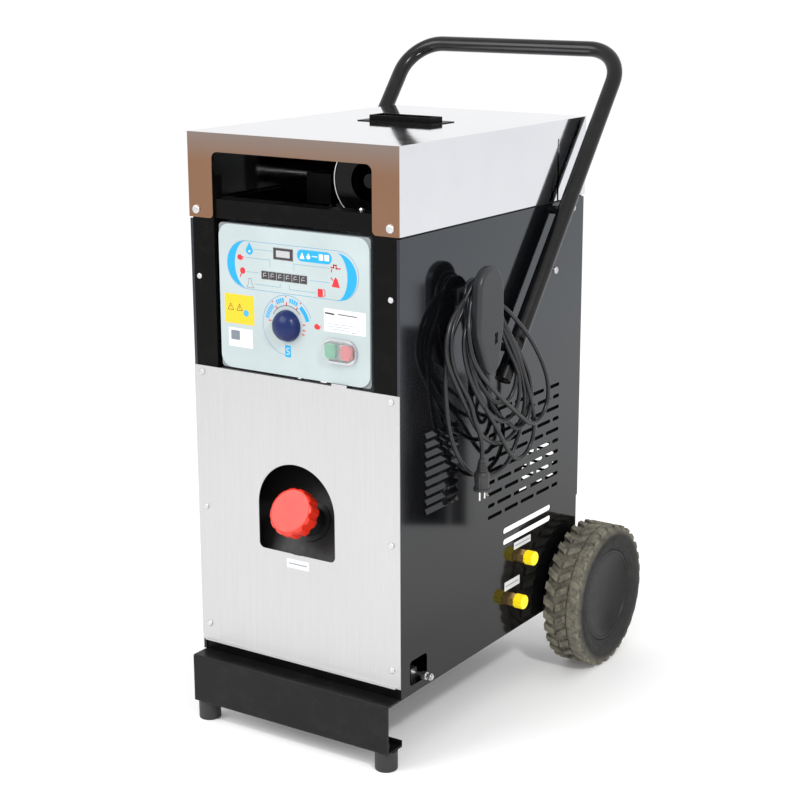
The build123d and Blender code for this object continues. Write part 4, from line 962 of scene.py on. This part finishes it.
# Painted light: the yellow caps glow a little, though they are no lamps, so that they read brighter.
YELLOW_PAINTED_GLOW = {"Emission_Color": rgba(1.0, 0.72, 0.01), "Emission_Strength": 0.22}
FINISHES = {
    "base_tray": SATIN_BLACK, "frame_posts": SATIN_BLACK, "front_cross_bar": SATIN_BLACK,
    "side_panel_right": GLOSS_PANEL, "side_panel_left": GLOSS_PANEL, "rear_cover": GLOSS_PANEL,
    "top_hood": hood_steel(), "flue_collar": SATIN_BLACK, "front_panel": brushed_panel(),
    "foot_bracket": BRACKET_GREY, "front_feet": rubbery("foot_rubber", rgba(0.02, 0.02, 0.021), 0.55),
    "handle_tube": HANDLE_BLACK, "handle_fixings": HANDLE_BLACK, "axle": ZINC,
    "rim_left": wheel_plastic, "rim_right": wheel_plastic,
    "control_box": painted("box_grey", rgba(0.2, 0.22, 0.235), 0.35),
    "control_plate": moulded("plate_face", rgba(0.4, 0.46, 0.465), 0.36, 0.12, 500),
    "display_windows": moulded("window_dark", rgba(0.035, 0.026, 0.03), 0.2, 0.05),
    "thermostat_body": moulded("thermostat_grey", rgba(0.2, 0.2, 0.21), 0.5),
    "switch_bezel": machined("bezel_silver", rgba(0.6, 0.61, 0.63), 0.28),
    "start_button": moulded("button_green", rgba(0.09, 0.42, 0.25), 0.3, 0.1),
    "stop_button": moulded("button_red", rgba(0.7, 0.12, 0.13), 0.3, 0.1),
    "switch_boot": clear_cover(),
    "relay_module": moulded("relay_grey", rgba(0.16, 0.17, 0.18), 0.5),
    "fuel_tank": moulded("tank_black", rgba(0.014, 0.014, 0.014), 0.5, 0.6, 400),
    "fuel_neck": moulded("neck_black", rgba(0.016, 0.016, 0.016), 0.45),
    "fuel_cap": moulded("cap_red", rgba(0.72, 0.028, 0.012), 0.3, 0.25, 500),
    "cap_gasket": rubbery("gasket_rubber", rgba(0.02, 0.02, 0.02)),
    "boiler_shell": STEEL_SHEET, "heating_coil": machined("coil_tube", rgba(0.3, 0.28, 0.27), 0.5),
    "flue_duct": STEEL_SHEET, "burner_housing": BURNER_BLACK, "burner_fan": BURNER_BLACK,
    "burner_motor": moulded("burner_motor_black", rgba(0.03, 0.03, 0.03), 0.4),
    "fuel_pump": SATIN_BLACK, "pump_motor": painted("motor_blue", rgba(0.03, 0.06, 0.13), 0.4, 0.6),
    "motor_fan": moulded("fan_black", rgba(0.02, 0.02, 0.02), 0.5),
    "fan_cover": SATIN_BLACK, "pump_crankcase": CASTING, "pump_head": BRASS,
    "unloader_valve": BRASS, "water_pipes": ZINC, "water_fittings": BRASS,
    "inlet_cap": moulded("cap_yellow", rgba(1.0, 0.76, 0.008), 0.28, 0.15, 650, **YELLOW_PAINTED_GLOW),
    "outlet_cap": moulded("cap_yellow_2", rgba(1.0, 0.76, 0.008), 0.28, 0.15, 650, **YELLOW_PAINTED_GLOW),
    "drain_fitting": ZINC,
    "cable_hook": moulded("hook_plastic", rgba(0.02, 0.0225, 0.026), 0.33, 0.5, 450,
                          Specular_IOR_Level=0.4),
    "cable_gland": rubbery("gland_rubber", rgba(0.03, 0.03, 0.032), 0.5),
    "plug_pins": machined("pin_nickel", rgba(0.75, 0.74, 0.7), 0.15), "panel_screws": ZINC,
}
SOFT_EDGES = {
    "top_hood": 0.9, "front_panel": 0.6, "side_panel_right": 0.4, "side_panel_left": 0.4,
    "foot_bracket": 0.5, "control_plate": 0.5, "flue_collar": 0.4, "fuel_cap": 0.9,
    "frame_posts": 0.5, "front_cross_bar": 0.5, "rear_cover": 0.4, "control_box": 0.8,
}
for node, finish in FINISHES.items():
    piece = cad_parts[node]
    piece.data.materials.clear()
    piece.data.materials.append(finish)
for node, width in SOFT_EDGES.items():
    soften(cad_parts[node], width * MM, 2, 40)


# ---------------------------------------------------------------- stage
def make_stage():
    """Plain pale floor, soft lights and a white surround."""
    mesh = bmesh.new()
    bmesh.ops.create_grid(mesh, x_segments=1, y_segments=1, size=400)
    floor_mesh = bpy.data.meshes.new("floor")
    mesh.to_mesh(floor_mesh)
    mesh.free()
    floor = bpy.data.objects.new("floor", floor_mesh)
    bpy.context.scene.collection.objects.link(floor)
    s = Shader("floor_paint", 0.6, Emission_Color=rgba(1.0, 1.0, 1.0), Emission_Strength=0.06)
    s.colour(s.blend(s.noise(2, 3), rgba(0.93, 0.93, 0.93), rgba(0.95, 0.95, 0.95)))
    floor_mesh.materials.append(s.material)
    world = bpy.data.worlds.new("surround")
    bpy.context.scene.world = world
    world.use_nodes = True
    world.node_tree.nodes["Background"].inputs[0].default_value = (1, 1, 1, 1)
    world.node_tree.nodes["Background"].inputs[1].default_value = 1.0
    add_flag()
    add_light("key", (-1.6, -3.2, 3.2), (0, 0, 0.6), 2.4, 90)
    add_light("side", (2.6, -1.9, 3.0), (0.2, 0, 0.6), 0.35, 60)


FLAG_BOXES = ((1086, 1250, 1040, 1278, 430), (1040, 1278, 972, 1320, 548), (966, 1324, 930, 1346, 300))


def add_flag():
    """Dark boxes standing off to the rear right, seen only as a reflection in the gloss sheets."""
    mesh = bmesh.new()
    for x0, y0, x1, y1, top in FLAG_BOXES:
        low = [spot(x, y, z) for x, y, z in ((x0, y0, -143), (x1, y1, -143))]
        high = [spot(x, y, z) for x, y, z in ((x1, y1, top), (x0, y0, top))]
        mesh.faces.new([mesh.verts.new(place) for place in low + high])
    data = bpy.data.meshes.new("flag")
    mesh.to_mesh(data)
    mesh.free()
    flag = bpy.data.objects.new("flag", data)
    bpy.context.scene.collection.objects.link(flag)
    s = Shader("flag_cloth", 0.95, Specular_IOR_Level=0.0)
    s.colour(s.blend(s.noise(6, 5), rgba(0.002, 0.002, 0.002), rgba(0.03, 0.03, 0.032)))
    data.materials.append(s.material)
    flag.visible_camera = False
    flag.visible_diffuse = False
    flag.visible_shadow = False


def add_light(name, place, target, size, power):
    data = bpy.data.lights.new(name, "AREA")
    data.size = size
    data.energy = power
    light = bpy.data.objects.new(name, data)
    bpy.context.scene.collection.objects.link(light)
    light.location = place
    light.rotation_euler = (Vector(target) - Vector(place)).to_track_quat("-Z", "Y").to_euler()


make_stage()
bpy.context.scene.view_settings.view_transform = "Standard"
